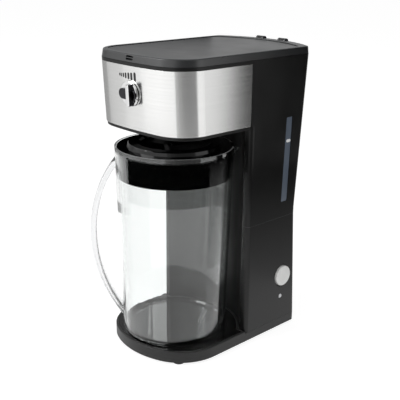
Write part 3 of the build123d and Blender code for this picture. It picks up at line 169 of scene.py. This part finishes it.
def brushed(name, dark, light, rough):
    """Brushed metal: long fine scratches round the Z axis."""
    mat, tree = new_material(name)
    lines = noise(tree, coordinates(tree, SCRATCH_SCALE), 1.0, 6.0, 0.7)
    broad_scale = tuple(v * BROAD_SCALE for v in SCRATCH_SCALE)
    wide = noise(tree, coordinates(tree, broad_scale), 1.0, 3.0)
    slow = noise(tree, coordinates(tree), SHEEN_SCALE, 2.0)
    shader = add(tree, "ShaderNodeBsdfPrincipled")
    shader.inputs["Metallic"].default_value = 1.0
    shader.inputs["Anisotropic"].default_value = ANISOTROPY
    shader.inputs["Anisotropic Rotation"].default_value = QUARTER_TURN
    mixed = add(tree, "ShaderNodeMix")
    mixed.data_type = "FLOAT"
    mixed.inputs["Factor"].default_value = BROAD_SHARE
    tree.links.new(lines.outputs["Fac"], mixed.inputs[2])
    tree.links.new(wide.outputs["Fac"], mixed.inputs[3])
    link(tree, tint(tree, mixed, "Result", dark, light), "Color", shader, "Base Color")
    sheen = add(tree, "ShaderNodeMath", operation="ADD")
    tree.links.new(ramp(tree, lines, "Fac", *rough).outputs[0], sheen.inputs[0])
    tree.links.new(ramp(tree, slow, "Fac", *SHEEN_CHANGE).outputs[0], sheen.inputs[1])
    link(tree, sheen, "Value", shader, "Roughness")
    link(tree, bump(tree, lines, "Fac", SCRATCH_BUMP, SCRATCH_DEPTH), "Normal", shader, "Normal")
    around = add(tree, "ShaderNodeTangent", direction_type="RADIAL", axis="Z")
    link(tree, around, "Tangent", shader, "Tangent")
    surface(tree, shader)
    return mat


METAL_CLOUD = 60.0
STREAK_SCALE = (900.0, 120.0, 900.0)
STREAK_BUMP = 0.1
STREAK_DEPTH = 0.01 * MM


def polished(name, dark, light, rough, metallic=1.0):
    """Plated, drawn or painted metal with faint handling marks."""
    mat, tree = new_material(name)
    slow = noise(tree, coordinates(tree), METAL_CLOUD, 4.0)
    marks = noise(tree, coordinates(tree, STREAK_SCALE), 1.0, 5.0)
    shader = add(tree, "ShaderNodeBsdfPrincipled")
    shader.inputs["Metallic"].default_value = metallic
    link(tree, tint(tree, slow, "Fac", dark, light), "Color", shader, "Base Color")
    link(tree, ramp(tree, slow, "Fac", *rough), "Result", shader, "Roughness")
    link(tree, bump(tree, marks, "Fac", STREAK_BUMP, STREAK_DEPTH), "Normal", shader, "Normal")
    surface(tree, shader)
    return mat


FLOW_STRETCH = (1.0, 1.0, 0.35)
FLOW_SCALE = 26.0
FLOW_BUMP = 0.3
SCUFF_SCALE = 140.0
LEAST_PASSED = 0.86  # share of a lamp's light that passes the plastic, whatever its colour
COLOUR_PASSED = 0.1  # what its colour adds to that


def clear(name, colour, rough, ior=1.49, ripple=0.01 * MM, through=1.0):
    """Clear moulded plastic; lamps shine through it, so that its shadow stays light."""
    mat, tree = new_material(name)
    flow = noise(tree, coordinates(tree, FLOW_STRETCH), FLOW_SCALE, 2.0)
    scuff = noise(tree, coordinates(tree), SCUFF_SCALE, 4.0)
    shader = add(tree, "ShaderNodeBsdfPrincipled")
    shader.inputs["Base Color"].default_value = (*colour, 1)
    shader.inputs["Transmission Weight"].default_value = through
    shader.inputs["IOR"].default_value = ior
    link(tree, ramp(tree, scuff, "Fac", *rough), "Result", shader, "Roughness")
    link(tree, bump(tree, flow, "Fac", FLOW_BUMP, ripple), "Normal", shader, "Normal")
    passing = add(tree, "ShaderNodeBsdfTransparent")
    passed = [LEAST_PASSED + COLOUR_PASSED * c for c in colour]
    passing.inputs["Color"].default_value = (*passed, 1)
    path = add(tree, "ShaderNodeLightPath")
    both = add(tree, "ShaderNodeMixShader")
    link(tree, path, "Is Shadow Ray", both, 0)
    tree.links.new(shader.outputs[0], both.inputs[1])
    tree.links.new(passing.outputs[0], both.inputs[2])
    surface(tree, both)
    return mat


WAVE_LENGTH = 0.314  # of a wave texture at scale 1, in metres
THREAD_WANDER = 0.4
THREAD_SHADE = 0.45
THREAD_BUMP = 0.6
THREAD_DEPTH = 0.2 * MM
THREAD_ROUGHNESS = 0.5


def woven(name, colour, pitch=0.6 * MM):
    """Fine nylon mesh: crossed threads as bump and colour, two threads to a wave."""
    mat, tree = new_material(name)
    space = coordinates(tree)
    waves = []
    for direction in ("X", "Z"):
        wave = add(tree, "ShaderNodeTexWave", bands_direction=direction)
        wave.inputs["Scale"].default_value = WAVE_LENGTH / (2 * pitch)
        wave.inputs["Distortion"].default_value = THREAD_WANDER
        link(tree, space, "Vector", wave, "Vector")
        waves.append(wave)
    crossed = add(tree, "ShaderNodeMath", operation="MAXIMUM")
    tree.links.new(waves[0].outputs["Fac"], crossed.inputs[0])
    tree.links.new(waves[1].outputs["Fac"], crossed.inputs[1])
    shader = add(tree, "ShaderNodeBsdfPrincipled")
    shader.inputs["Roughness"].default_value = THREAD_ROUGHNESS
    dark = tuple(c * THREAD_SHADE for c in colour)
    link(tree, tint(tree, crossed, "Value", dark, colour), "Color", shader, "Base Color")
    height = bump(tree, crossed, "Value", THREAD_BUMP, THREAD_DEPTH)
    link(tree, height, "Normal", shader, "Normal")
    surface(tree, shader)
    return mat


def grey(level):
    return (level, level, level)


# black plastics and rubber: colour from dark to light, roughness, grain per metre and its depth
BLACK = moulded("satin_black_plastic", grey(0.003), grey(0.005), (0.27, 0.36), specular=0.33)
BLACK_TOP = moulded(
    "textured_black_plastic",
    (0.026, 0.028, 0.03),
    (0.034, 0.036, 0.038),
    (0.4, 0.5),
    grain=1500.0,
    depth=0.05 * MM,
    specular=0.3,
)
# painted shade: a darker copy of the lid's plastic for its recessed panel
BLACK_PANEL_SHADE = moulded(
    "lid_panel_painted_shade",
    (0.013, 0.0145, 0.016),
    (0.019, 0.0205, 0.022),
    (0.36, 0.46),
    grain=1500.0,
    depth=0.05 * MM,
    specular=0.22,
)
# painted shade: a darker copy of the lid's plastic for its sideways faces, with more sheen
BLACK_SIDE_SHADE = moulded(
    "lid_side_painted_shade",
    (0.006, 0.007, 0.008),
    (0.01, 0.011, 0.012),
    (0.26, 0.34),
    grain=1500.0,
    depth=0.03 * MM,
    specular=0.95,
)
BLACK_BASE = moulded(
    "dull_black_plastic",
    grey(0.013),
    grey(0.018),
    (0.42, 0.52),
    grain=1500.0,
    depth=0.04 * MM,
    specular=0.38,
)
GLOSS = moulded(
    "gloss_black_plastic", grey(0.001), grey(0.002), (0.05, 0.09), grain=400.0, depth=0.004 * MM
)
# painted highlight: a lighter grey for the seam's bevel, standing in for the light it catches
SEAM_HIGHLIGHT = moulded("painted_seam_highlight", (0.08, 0.082, 0.085), (0.11, 0.112, 0.115), (0.35, 0.45))
RUBBER = moulded(
    "black_rubber", grey(0.02), grey(0.035), (0.7, 0.85), grain=1800.0, depth=0.06 * MM
)

# pale and printed plastics
SILICONE = moulded(
    "pale_silicone", (0.62, 0.62, 0.58), (0.75, 0.75, 0.71), (0.4, 0.55), grain=900.0
)
WHITE = moulded("white_plastic", (0.72, 0.72, 0.69), (0.8, 0.8, 0.77), (0.35, 0.5), grain=1500.0)
LENS = moulded(
    "lamp_lens",
    (0.62, 0.63, 0.65),
    (0.72, 0.73, 0.75),
    (0.1, 0.2),
    grain=900.0,
    depth=0.01 * MM,
    cloud=200.0,
    coat=0.5,
)
WINDOW = moulded(
    "window_plastic",
    (0.085, 0.105, 0.138),
    (0.125, 0.15, 0.19),
    (0.12, 0.2),
    grain=500.0,
    depth=0.01 * MM,
    cloud=30.0,
    coat=0.4,
)
INK = moulded("black_ink", grey(0.004), grey(0.008), (0.4, 0.6), grain=3000.0)
MARK = moulded("white_ink", (0.7, 0.71, 0.72), grey(0.8), (0.4, 0.5), grain=3000.0)

# metals
STEEL = brushed("brushed_steel", (0.7, 0.7, 0.692), (0.87, 0.87, 0.86), (0.15, 0.25))
SCREW = polished("screw_steel", grey(0.4), (0.55, 0.55, 0.54), (0.25, 0.4))
CHROME = polished("bright_chrome", grey(0.74), grey(0.82), (0.05, 0.1))
# painted reflection: a dark copy of the chrome for the knob's faces that mirror dark surroundings
CHROME_PAINTED_DARK = polished(
    "chrome_painted_dark_reflection", (0.025, 0.025, 0.028), (0.055, 0.055, 0.06), (0.14, 0.22)
)
SILVER = polished(
    "silver_paint", (0.86, 0.865, 0.85), (0.92, 0.925, 0.91), (0.25, 0.35), metallic=0.0
)
CAST = polished("cast_aluminium", grey(0.5), grey(0.65), (0.4, 0.6))

# clear plastics
CLEAR = clear("clear_plastic", (0.97, 0.985, 0.98), (0.0, 0.02), ripple=0.008 * MM)
HANDLE = clear("thick_clear_plastic", (0.87, 0.875, 0.88), (0.14, 0.22))
# painted highlight: the rim band lets less light through and shows its pale colour, standing in
# for the light the rim catches
RIM_HIGHLIGHT = clear("clear_rim_painted_highlight", (0.9, 0.92, 0.92), (0.05, 0.12), through=0.62)
TANK = clear("tank_plastic", (0.75, 0.8, 0.83), (0.2, 0.32), ior=1.5, ripple=0.04 * MM)
MESH = woven("nylon_mesh", (0.75, 0.73, 0.66))

NODE_LOOK = {
    "rubber_feet": RUBBER,
    "riser_seal": RUBBER,
    "cord_gland": RUBBER,
    "tank_hose": SILICONE,
    "heater_hose": SILICONE,
    "riser_hose": SILICONE,
    "plate_screws": SCREW,
    "housing_screws": SCREW,
    "bracket_screw": SCREW,
    "heater_bracket": SCREW,
    "hose_clamps": SCREW,
    "hinge_pins": SCREW,
    "shaft_clip": SCREW,
    "selector_shaft": SCREW,
    "heater": CAST,
    "thermostat": CAST,
    "thermal_fuses": WHITE,
    "check_valve": WHITE,
    "riser_tube": WHITE,
    "power_switch": WHITE,
    "strength_shutter": WHITE,
    "water_tank": TANK,
    "filter_mesh": MESH,
}
for node_name, node in frame["nodes"].items():
    node.data.materials.clear()
    node.data.materials.append(NODE_LOOK.get(node_name, BLACK))

# ---------------------------------------------------------------- building pieces


def finish_piece(name, mesh, material, body, slot, *replaced):
    """Links a mesh as one piece that rides on a body."""
    obj = bpy.data.objects.new(name, mesh)
    bpy.context.scene.collection.objects.link(obj)
    mesh.materials.clear()
    mesh.materials.append(material)
    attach(obj, body)
    if replaced:
        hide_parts(*replaced)
    return obj


def apply_modifiers(obj):
    graph = bpy.context.evaluated_depsgraph_get()
    mesh = bpy.data.meshes.new_from_object(obj.evaluated_get(graph))
    old = obj.data
    obj.modifiers.clear()
    obj.data = mesh
    bpy.data.meshes.remove(old)


WELD = 0.001 * MM  # points closer than this are one
SLIVER = 0.02 * MM  # shorter edges are taken out before the bevel
FLAT_ANGLE = 0.6  # degrees between faces that are joined to one
EDGE_ANGLE = 28.0  # degrees from which an edge is rounded
SMOOTH_MARGIN = 8.0  # an edge is shaded sharp from this much more
EDGE_STEPS = 2
FLAT_WEIGHT = 80


def soften(node_name, name, material, body, slot, width):
    """A copy of a CAD node with its sharp edges rounded; it stands for that node."""
    mesh = frame["nodes"][node_name].data.copy()
    mesh.name = name
    edit = bmesh.new()
    edit.from_mesh(mesh)
    bmesh.ops.remove_doubles(edit, verts=edit.verts, dist=WELD)
    bmesh.ops.dissolve_degenerate(edit, dist=SLIVER, edges=edit.edges)
    flat_angle = math.radians(FLAT_ANGLE)
    bmesh.ops.dissolve_limit(
        edit, angle_limit=flat_angle, verts=edit.verts, edges=edit.edges, delimit={"NORMAL"}
    )
    edit.to_mesh(mesh)
    edit.free()
    obj = finish_piece(name, mesh, material, body, slot, node_name)
    bevel = obj.modifiers.new("edges", "BEVEL")
    bevel.width = width
    bevel.segments = EDGE_STEPS
    bevel.limit_method = "ANGLE"
    bevel.angle_limit = math.radians(EDGE_ANGLE)
    bevel.use_clamp_overlap = True
    apply_modifiers(obj)
    for polygon in obj.data.polygons:
        polygon.use_smooth = True
    obj.data.set_sharp_from_angle(angle=math.radians(EDGE_ANGLE + SMOOTH_MARGIN))
    weighted = obj.modifiers.new("flat", "WEIGHTED_NORMAL")
    weighted.keep_sharp = True
    weighted.weight = FLAT_WEIGHT
    apply_modifiers(obj)
    return obj


def paint(obj, material, rule):
    """Gives the faces for which rule(centre, normal, lowest point's height) holds a material."""
    obj.data.materials.append(material)
    points = obj.data.vertices
    for polygon in obj.data.polygons:
        lowest = min(points[i].co.z for i in polygon.vertices)
        if rule(polygon.center, polygon.normal, lowest):
            polygon.material_index = len(obj.data.materials) - 1


def surface_tree(node_name):
    """The faces of a CAD node, for finding points on its outside."""
    mesh = frame["nodes"][node_name].data
    return BVHTree.FromPolygons([v.co for v in mesh.vertices], [p.vertices for p in mesh.polygons])


BAR_SINK = 0.02 * MM  # how far a bar's foot lies below the surface
BAR_SHOULDER = 0.6  # where its edge starts to lean in, as a share of the thickness
BAR_TOP = 0.86  # size of its top, as a share of its foot
BAR_STEPS = 6  # in each round end


def bar(name, tree, centre, size, direction, material, body, slot):
    """A thin bar with round ends on a surface; size is width, height and thickness."""
    width, height, thickness = size
    across = Vector(direction).cross((0, 0, 1)).normalized()
    upward = Vector((0, 0, 1))
    if height < width:
        across, upward, width, height = upward, across, height, width
    reach = height / 2 - width / 2
    outline = []
    for end in (1, -1):
        for i in range(BAR_STEPS + 1):
            turn = math.pi * i / BAR_STEPS
            across_end = math.cos(turn) * width / 2
            outline.append((end * across_end, end * (reach + math.sin(turn) * width / 2)))
    rings = []
    for lift, scale in ((-BAR_SINK, 1.0), (thickness * BAR_SHOULDER, 1.0), (thickness, BAR_TOP)):
        ring = []
        for u, v in outline:
            along = v - math.copysign(width * (1 - scale) / 2, v)
            start = Vector(centre) + across * u * scale + upward * along
            place = tree.ray_cast(start, Vector(direction))[0]
            ring.append(place - Vector(direction) * lift)
        rings.append(ring)
    count = len(outline)
    points = [p for ring in rings for p in ring]
    faces = []
    for r in range(len(rings) - 1):
        for i in range(count):
            j = (i + 1) % count
            low, high = r * count, (r + 1) * count
            faces.append((low + i, low + j, high + j, high + i))
    faces.append(tuple((len(rings) - 1) * count + i for i in range(count)))
    mesh = bpy.data.meshes.new(name)
    mesh.from_pydata(points, [], faces)
    edit = bmesh.new()
    edit.from_mesh(mesh)
    bmesh.ops.recalc_face_normals(edit, faces=edit.faces)
    edit.to_mesh(mesh)
    edit.free()
    return finish_piece(name, mesh, material, body, slot)


# ---------------------------------------------------------------- pieces

# CAD node, piece, material, body, slot, and the width of its rounded edges in millimetres
SHELLS = (
    ("upper_housing", "upper_housing_shell", BLACK, "housing", "satin_black", 0.5),
    ("lower_housing", "lower_housing_shell", BLACK, "housing", "satin_black", 0.7),
    ("base", "base_shell", BLACK_BASE, "housing", "satin_black", 0.7),
    ("pitcher_tray", "tray_plate", GLOSS, "housing", "gloss_black", 0.2),
    ("head_cover", "head_cover_plate", BLACK, "housing", "satin_black", 0.4),
    ("front_panel", "steel_front", STEEL, "housing", "steel_panel", 0.25),
    ("top_lid", "lid_shell", BLACK_TOP, "lid", "satin_black", 0.6),
    ("power_button", "button_cap", SILVER, "button", "bright_chrome", 0.3),
    ("indicator_lamp", "lamp_cap", LENS, "housing", "lamp_lens", 0.1),
    ("sight_window", "window_strip", WINDOW, "housing", "clear_plastic", 0.2),
    ("pitcher_lid", "pitcher_cover", GLOSS, "pitcher_lid", "gloss_black", 0.4),
    ("strength_knob", "knob_grip", CHROME, "knob", "bright_chrome", 0.4),
    ("pitcher", "pitcher_body", CLEAR, "pitcher", "clear_plastic", 0.5),
)
shells = {}
for cad_node, piece, look, body_name, slot_name, edge in SHELLS:
    shells[piece] = soften(cad_node, piece, look, body_name, slot_name, edge * MM)

# seam: the lower housing's top bevel is painted a lighter grey, a painted highlight where the
# bevel catches light
SEAM_BAND = 0.9 * MM
SEAM_TILT = (0.2, 0.98)
seam_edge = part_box("lower_housing")[1][2] - SEAM_BAND


def on_seam_highlight(centre, normal, lowest):
    return lowest > seam_edge and SEAM_TILT[0] < normal.z < SEAM_TILT[1]


paint(shells["lower_housing_shell"], SEAM_HIGHLIGHT, on_seam_highlight)

# lid: painted shade, a darker copy of its plastic on the recessed panel and on the sides
LID_PANEL_Z = 327.7 * MM  # height of the recessed panel, as in the CAD
PANEL_REACH = 0.2 * MM
FACES_UP = 0.7  # least height of the normal of a face that looks up
FACES_SIDEWAYS = 0.5  # most height of the normal of a face that looks sideways


def on_lid_panel_shade(centre, normal, lowest):
    return normal.z > FACES_UP and abs(centre.z - LID_PANEL_Z) < PANEL_REACH


def on_lid_side_shade(centre, normal, lowest):
    return abs(normal.z) < FACES_SIDEWAYS


paint(shells["lid_shell"], BLACK_PANEL_SHADE, on_lid_panel_shade)
paint(shells["lid_shell"], BLACK_SIDE_SHADE, on_lid_side_shade)

# knob: bright disc and grip face; the lobe and the grip's sides get a painted dark reflection, a
# dark copy of the chrome
knob_joint = next(joint for joint in frame["joints"] if joint["name"] == "knob_turn")
knob_axis = Vector(knob_joint["axis"])
knob_origin = Vector(knob_joint["pos_m"])
DISC_FACE = 3.0 * MM  # from the panel, as in the CAD
LOBE_FACE = 5.0 * MM
DISC_MARGIN = 0.05 * MM
LOBE_MARGIN = 0.1 * MM
GRIP_FACE = 0.6  # least part of the normal that points along the axis


def knob_painted_dark(centre, normal, lowest):
    depth = (centre - knob_origin).dot(knob_axis)
    if depth > LOBE_FACE + LOBE_MARGIN:
        return normal.dot(knob_axis) < GRIP_FACE
    return depth > DISC_FACE + DISC_MARGIN


paint(shells["knob_grip"], CHROME_PAINTED_DARK, knob_painted_dark)

# pitcher: the handle is thick and slightly frosted; the rim band is part opaque pale plastic, a
# painted highlight
PITCHER_FOOT = (58.0 * MM, 15.6 * MM)  # outer radius and height
PITCHER_RIM = (64.0 * MM, 228.0 * MM)
HANDLE_TURN = math.radians(229.0)
HANDLE_GAP = 0.4 * MM  # the handle's look starts this far out from the wall
HANDLE_TOP = PITCHER_RIM[1] - 3.0 * MM
RIM_BAND = 1.0 * MM


def pitcher_radius(height):
    share = (height - PITCHER_FOOT[1]) / (PITCHER_RIM[1] - PITCHER_FOOT[1])
    return PITCHER_FOOT[0] + share * (PITCHER_RIM[0] - PITCHER_FOOT[0])


def on_handle(centre, normal, lowest):
    outward = centre.x * math.cos(HANDLE_TURN) + centre.y * math.sin(HANDLE_TURN)
    return outward > pitcher_radius(centre.z) + HANDLE_GAP and centre.z < HANDLE_TOP


def on_rim_highlight(centre, normal, lowest):
    return lowest > PITCHER_RIM[1] - RIM_BAND


paint(shells["pitcher_body"], HANDLE, on_handle)
paint(shells["pitcher_body"], RIM_HIGHLIGHT, on_rim_highlight)

# strength bars on the steel panel, from weak to strong: place across and height in millimetres
BARS = ((-16.0, 3.0), (-13.4, 3.8), (-9.8, 4.4), (-6.1, 5.9), (-1.6, 6.9), (3.0, 7.8), (8.2, 9.3))
BAR_WIDTHS = (1.6, 3.3)
BAR_THICKNESS = 0.15 * MM
BAR_Z = 307.0 * MM
BARS_FROM_Y = -0.2  # they are laid on the panel from here, in front of it
TO_THE_REAR = (0, 1, 0)
panel_tree = surface_tree("front_panel")
for number, (bar_x, bar_height) in enumerate(BARS):
    bar_width = BAR_WIDTHS[0] + (BAR_WIDTHS[1] - BAR_WIDTHS[0]) * number / (len(BARS) - 1)
    place = (bar_x * MM, BARS_FROM_Y, BAR_Z)
    size = (bar_width * MM, bar_height * MM, BAR_THICKNESS)
    name = f"strength_bar_{number + 1}"
    bar(name, panel_tree, place, size, TO_THE_REAR, INK, "housing", "satin_black")

# level mark on the window, laid on it from the right
MARK_PLACE = (0.2, 105.7 * MM, 227.9 * MM)
MARK_SIZE = (7.0 * MM, 3.4 * MM, 0.05 * MM)
TO_THE_LEFT = (-1, 0, 0)
window_tree = surface_tree("sight_window")
bar("level_mark", window_tree, MARK_PLACE, MARK_SIZE, TO_THE_LEFT, MARK, "housing", "lamp_lens")

# ---------------------------------------------------------------- stage, lights, camera

FLOOR_REACH = 6.0
FLOOR_COLOUR = 0.8  # as diffuse light meets it
SHADOW = 0.4  # how dark the object's shadow may get
FLOOR_LIGHT = 0.4  # how bright a white floor would be where the lamps reach it least
SKY_LIGHT = 0.36  # strength of the world as a light; where it is seen it is white, which is 1


def flat(name, corners, material):
    mesh = bpy.data.meshes.new(name)
    mesh.from_pydata(corners, [], [tuple(range(len(corners)))])
    mesh.materials.append(material)
    obj = bpy.data.objects.new(name, mesh)
    bpy.context.scene.collection.objects.link(obj)
    return obj


def seen_rays(tree):
    """1 for rays from the camera, from gloss and through clear plastic, else 0."""
    path = add(tree, "ShaderNodeLightPath")
    first = add(tree, "ShaderNodeMath", operation="MAXIMUM")
    both = add(tree, "ShaderNodeMath", operation="MAXIMUM")
    tree.links.new(path.outputs["Is Camera Ray"], first.inputs[0])
    tree.links.new(path.outputs["Is Glossy Ray"], first.inputs[1])
    tree.links.new(first.outputs[0], both.inputs[0])
    tree.links.new(path.outputs["Is Transmission Ray"], both.inputs[1])
    return both


def paper_floor():
    """Pale paper; what is seen of it is white, less the object's shadow."""
    look, tree = new_material("floor_paper")
    lit = add(tree, "ShaderNodeBsdfDiffuse", Color=(*grey(FLOOR_COLOUR), 1))
    shaded = add(tree, "ShaderNodeBsdfDiffuse", Color=(*grey(SHADOW), 1))
    white = add(tree, "ShaderNodeEmission", Strength=1 - SHADOW * FLOOR_LIGHT)
    shown = add(tree, "ShaderNodeAddShader")
    tree.links.new(shaded.outputs[0], shown.inputs[0])
    tree.links.new(white.outputs[0], shown.inputs[1])
    mixed = add(tree, "ShaderNodeMixShader")
    tree.links.new(seen_rays(tree).outputs[0], mixed.inputs[0])
    tree.links.new(lit.outputs[0], mixed.inputs[1])
    tree.links.new(shown.outputs[0], mixed.inputs[2])
    surface(tree, mixed)
    return look


far = FLOOR_REACH
floor_corners = [(-far, -far, 0), (far, -far, 0), (far, far, 0), (-far, far, 0)]
flat("floor", floor_corners, paper_floor())

world = bpy.data.worlds.new("studio")
bpy.context.scene.world = world
world.use_nodes = True
tree = world.node_tree
tree.nodes.clear()
strength = ramp(tree, seen_rays(tree), 0, SKY_LIGHT, 1.0, 0.0, 1.0)
sky = add(tree, "ShaderNodeBackground", Color=(1, 1, 1, 1))
link(tree, strength, "Result", sky, "Strength")
output = add(tree, "ShaderNodeOutputWorld")
link(tree, sky, 0, output, "Surface")


def glow(name, low, high, axis, start, end):
    """Brightness from low to high along an axis; straight looks through clear plastic pass it.

    A ray that was mirrored before has a glossy depth of 1 or more.
    """
    look, tree = new_material(name)
    place = add(tree, "ShaderNodeTexCoord")
    split = add(tree, "ShaderNodeSeparateXYZ")
    link(tree, place, "Object", split, "Vector")
    light = add(tree, "ShaderNodeEmission")
    link(tree, ramp(tree, split, axis, low, high, start, end), "Result", light, "Strength")
    path = add(tree, "ShaderNodeLightPath")
    mirrored = add(tree, "ShaderNodeMath", operation="GREATER_THAN")
    link(tree, path, "Glossy Depth", mirrored, 0)
    mirrored.inputs[1].default_value = 0.5
    both = add(tree, "ShaderNodeMixShader")
    tree.links.new(mirrored.outputs[0], both.inputs[0])
    tree.links.new(add(tree, "ShaderNodeBsdfTransparent").outputs[0], both.inputs[1])
    tree.links.new(light.outputs[0], both.inputs[2])
    surface(tree, both)
    return look


def only_mirrored(obj):
    """The card shows in reflections alone."""
    for ray in ("camera", "diffuse", "volume_scatter", "shadow"):
        setattr(obj, "visible_" + ray, False)


def wall(x0, y0, x1, y1, low_z, high_z):
    """Corners of an upright card."""
    return [(x0, y0, low_z), (x1, y1, low_z), (x1, y1, high_z), (x0, y0, high_z)]


def screen(name, azimuth0, azimuth1, radius, low_z, high_z, strengths, fade):
    """Upright curved card round the object, in strips of equal width.

    Each strip has its strength at the foot, and fade times that at the top.
    """
    count = len(strengths)
    turns = [math.radians(azimuth0 + (azimuth1 - azimuth0) * i / count) for i in range(count + 1)]
    for i, strength in enumerate(strengths):
        ends = [(radius * math.sin(t), -radius * math.cos(t)) for t in turns[i : i + 2]]
        look = glow(f"{name}_{i}", strength, strength * fade, "Z", low_z, high_z)
        only_mirrored(flat(f"{name}_{i}", wall(*ends[0], *ends[1], low_z, high_z), look))


# cards that give steel, chrome and gloss their pale and dark areas

# upright card on the right, pale in front and dark towards the rear
SIDE_CARD_X = 0.35
SIDE_CARD_Y = (0.2, 1.4)
SIDE_CARD_Z = (0.02, 1.0)
SIDE_FADE_Y = (0.28, 0.325)
SIDE_GLOW = (0.98, 0.02)
side_corners = wall(SIDE_CARD_X, SIDE_CARD_Y[0], SIDE_CARD_X, SIDE_CARD_Y[1], *SIDE_CARD_Z)
only_mirrored(flat("side_card", side_corners, glow("side", *SIDE_GLOW, "Y", *SIDE_FADE_Y)))

# name, azimuths in degrees, radius, foot and top, strength of each strip, top's share of it
SCREENS = (
    ("low_card", -44, 112, 0.22, 0.11, 0.17, (0.0,) * 18, 1.0),
    ("low_side_card", 112, 155, 0.22, 0.02, 0.17, (0.75,) * 6, 0.0),
    ("strip_card", -104, -44, 0.22, 0.1, 0.17, (1.0,) * 8, 1.0),
    ("lid_card", -145, -113, 0.2, 0.19, 0.36, (0.0,) * 5, 1.0),
    ("lid_side_card", -113, -95, 0.2, 0.237, 0.36, (0.0,) * 3, 1.0),
    ("left_card", -125, -40, 0.45, 0.0, 0.4, (0.4, 0.4, 0.4, 0.4, 0.4, 0.44, 0.75, 0.97), 1.0),
    ("camera_card", 32, 98, 0.62, 0.02, 0.7, (0.5, 0.36, 0.27, 0.24, 0.24, 0.26, 0.3), 1.0),
)
for card in SCREENS:
    screen(*card)


def lamp(name, place, target, size, power):
    light = bpy.data.lights.new(name, "AREA")
    light.shape = "RECTANGLE"
    light.size, light.size_y = size
    light.energy = power
    obj = bpy.data.objects.new(name, light)
    bpy.context.scene.collection.objects.link(obj)
    obj.location = place
    obj.rotation_euler = (Vector(target) - Vector(place)).to_track_quat("-Z", "Y").to_euler()
    return obj


# name, place, what it points at, size in metres, power in watts
KEY_LAMP = ("key", (-0.9, -1.5, 1.5), (0, 0, 0.2), (1.2, 1.2), 22)
FILL_LAMP = ("fill", (1.6, -0.6, 1.2), (0, 0, 0.15), (1.0, 1.0), 10)
lamp(*KEY_LAMP)
lamp(*FILL_LAMP).visible_glossy = False

# the camera, as fitted to the photo
CAMERA_PLACE = (0.58916, -0.51864, 0.42694)
CAMERA_AZIMUTH = math.radians(46.597)
CAMERA_ELEVATION = math.radians(18.424)
CAMERA_ROLL = math.radians(0.595)
SENSOR_WIDTH = 36.0
LENS_LENGTH = 67.94
CLIP = (0.01, 50.0)
camera_data = bpy.data.cameras.new("camera")
camera_data.sensor_width = SENSOR_WIDTH
camera_data.lens = LENS_LENGTH
camera_data.clip_start, camera_data.clip_end = CLIP
camera = bpy.data.objects.new("camera", camera_data)
bpy.context.scene.collection.objects.link(camera)
back = Vector(
    (
        math.sin(CAMERA_AZIMUTH) * math.cos(CAMERA_ELEVATION),
        -math.cos(CAMERA_AZIMUTH) * math.cos(CAMERA_ELEVATION),
        math.sin(CAMERA_ELEVATION),
    )
)
side = Vector((0, 0, 1)).cross(back).normalized()
top = back.cross(side)
turned_side = side * math.cos(CAMERA_ROLL) + top * math.sin(CAMERA_ROLL)
turned_top = top * math.cos(CAMERA_ROLL) - side * math.sin(CAMERA_ROLL)
turn = Matrix((turned_side, turned_top, back)).transposed()
camera.matrix_world = Matrix.Translation(CAMERA_PLACE) @ turn.to_4x4()
bpy.context.scene.camera = camera
bpy.context.scene.view_settings.view_transform = "Standard"
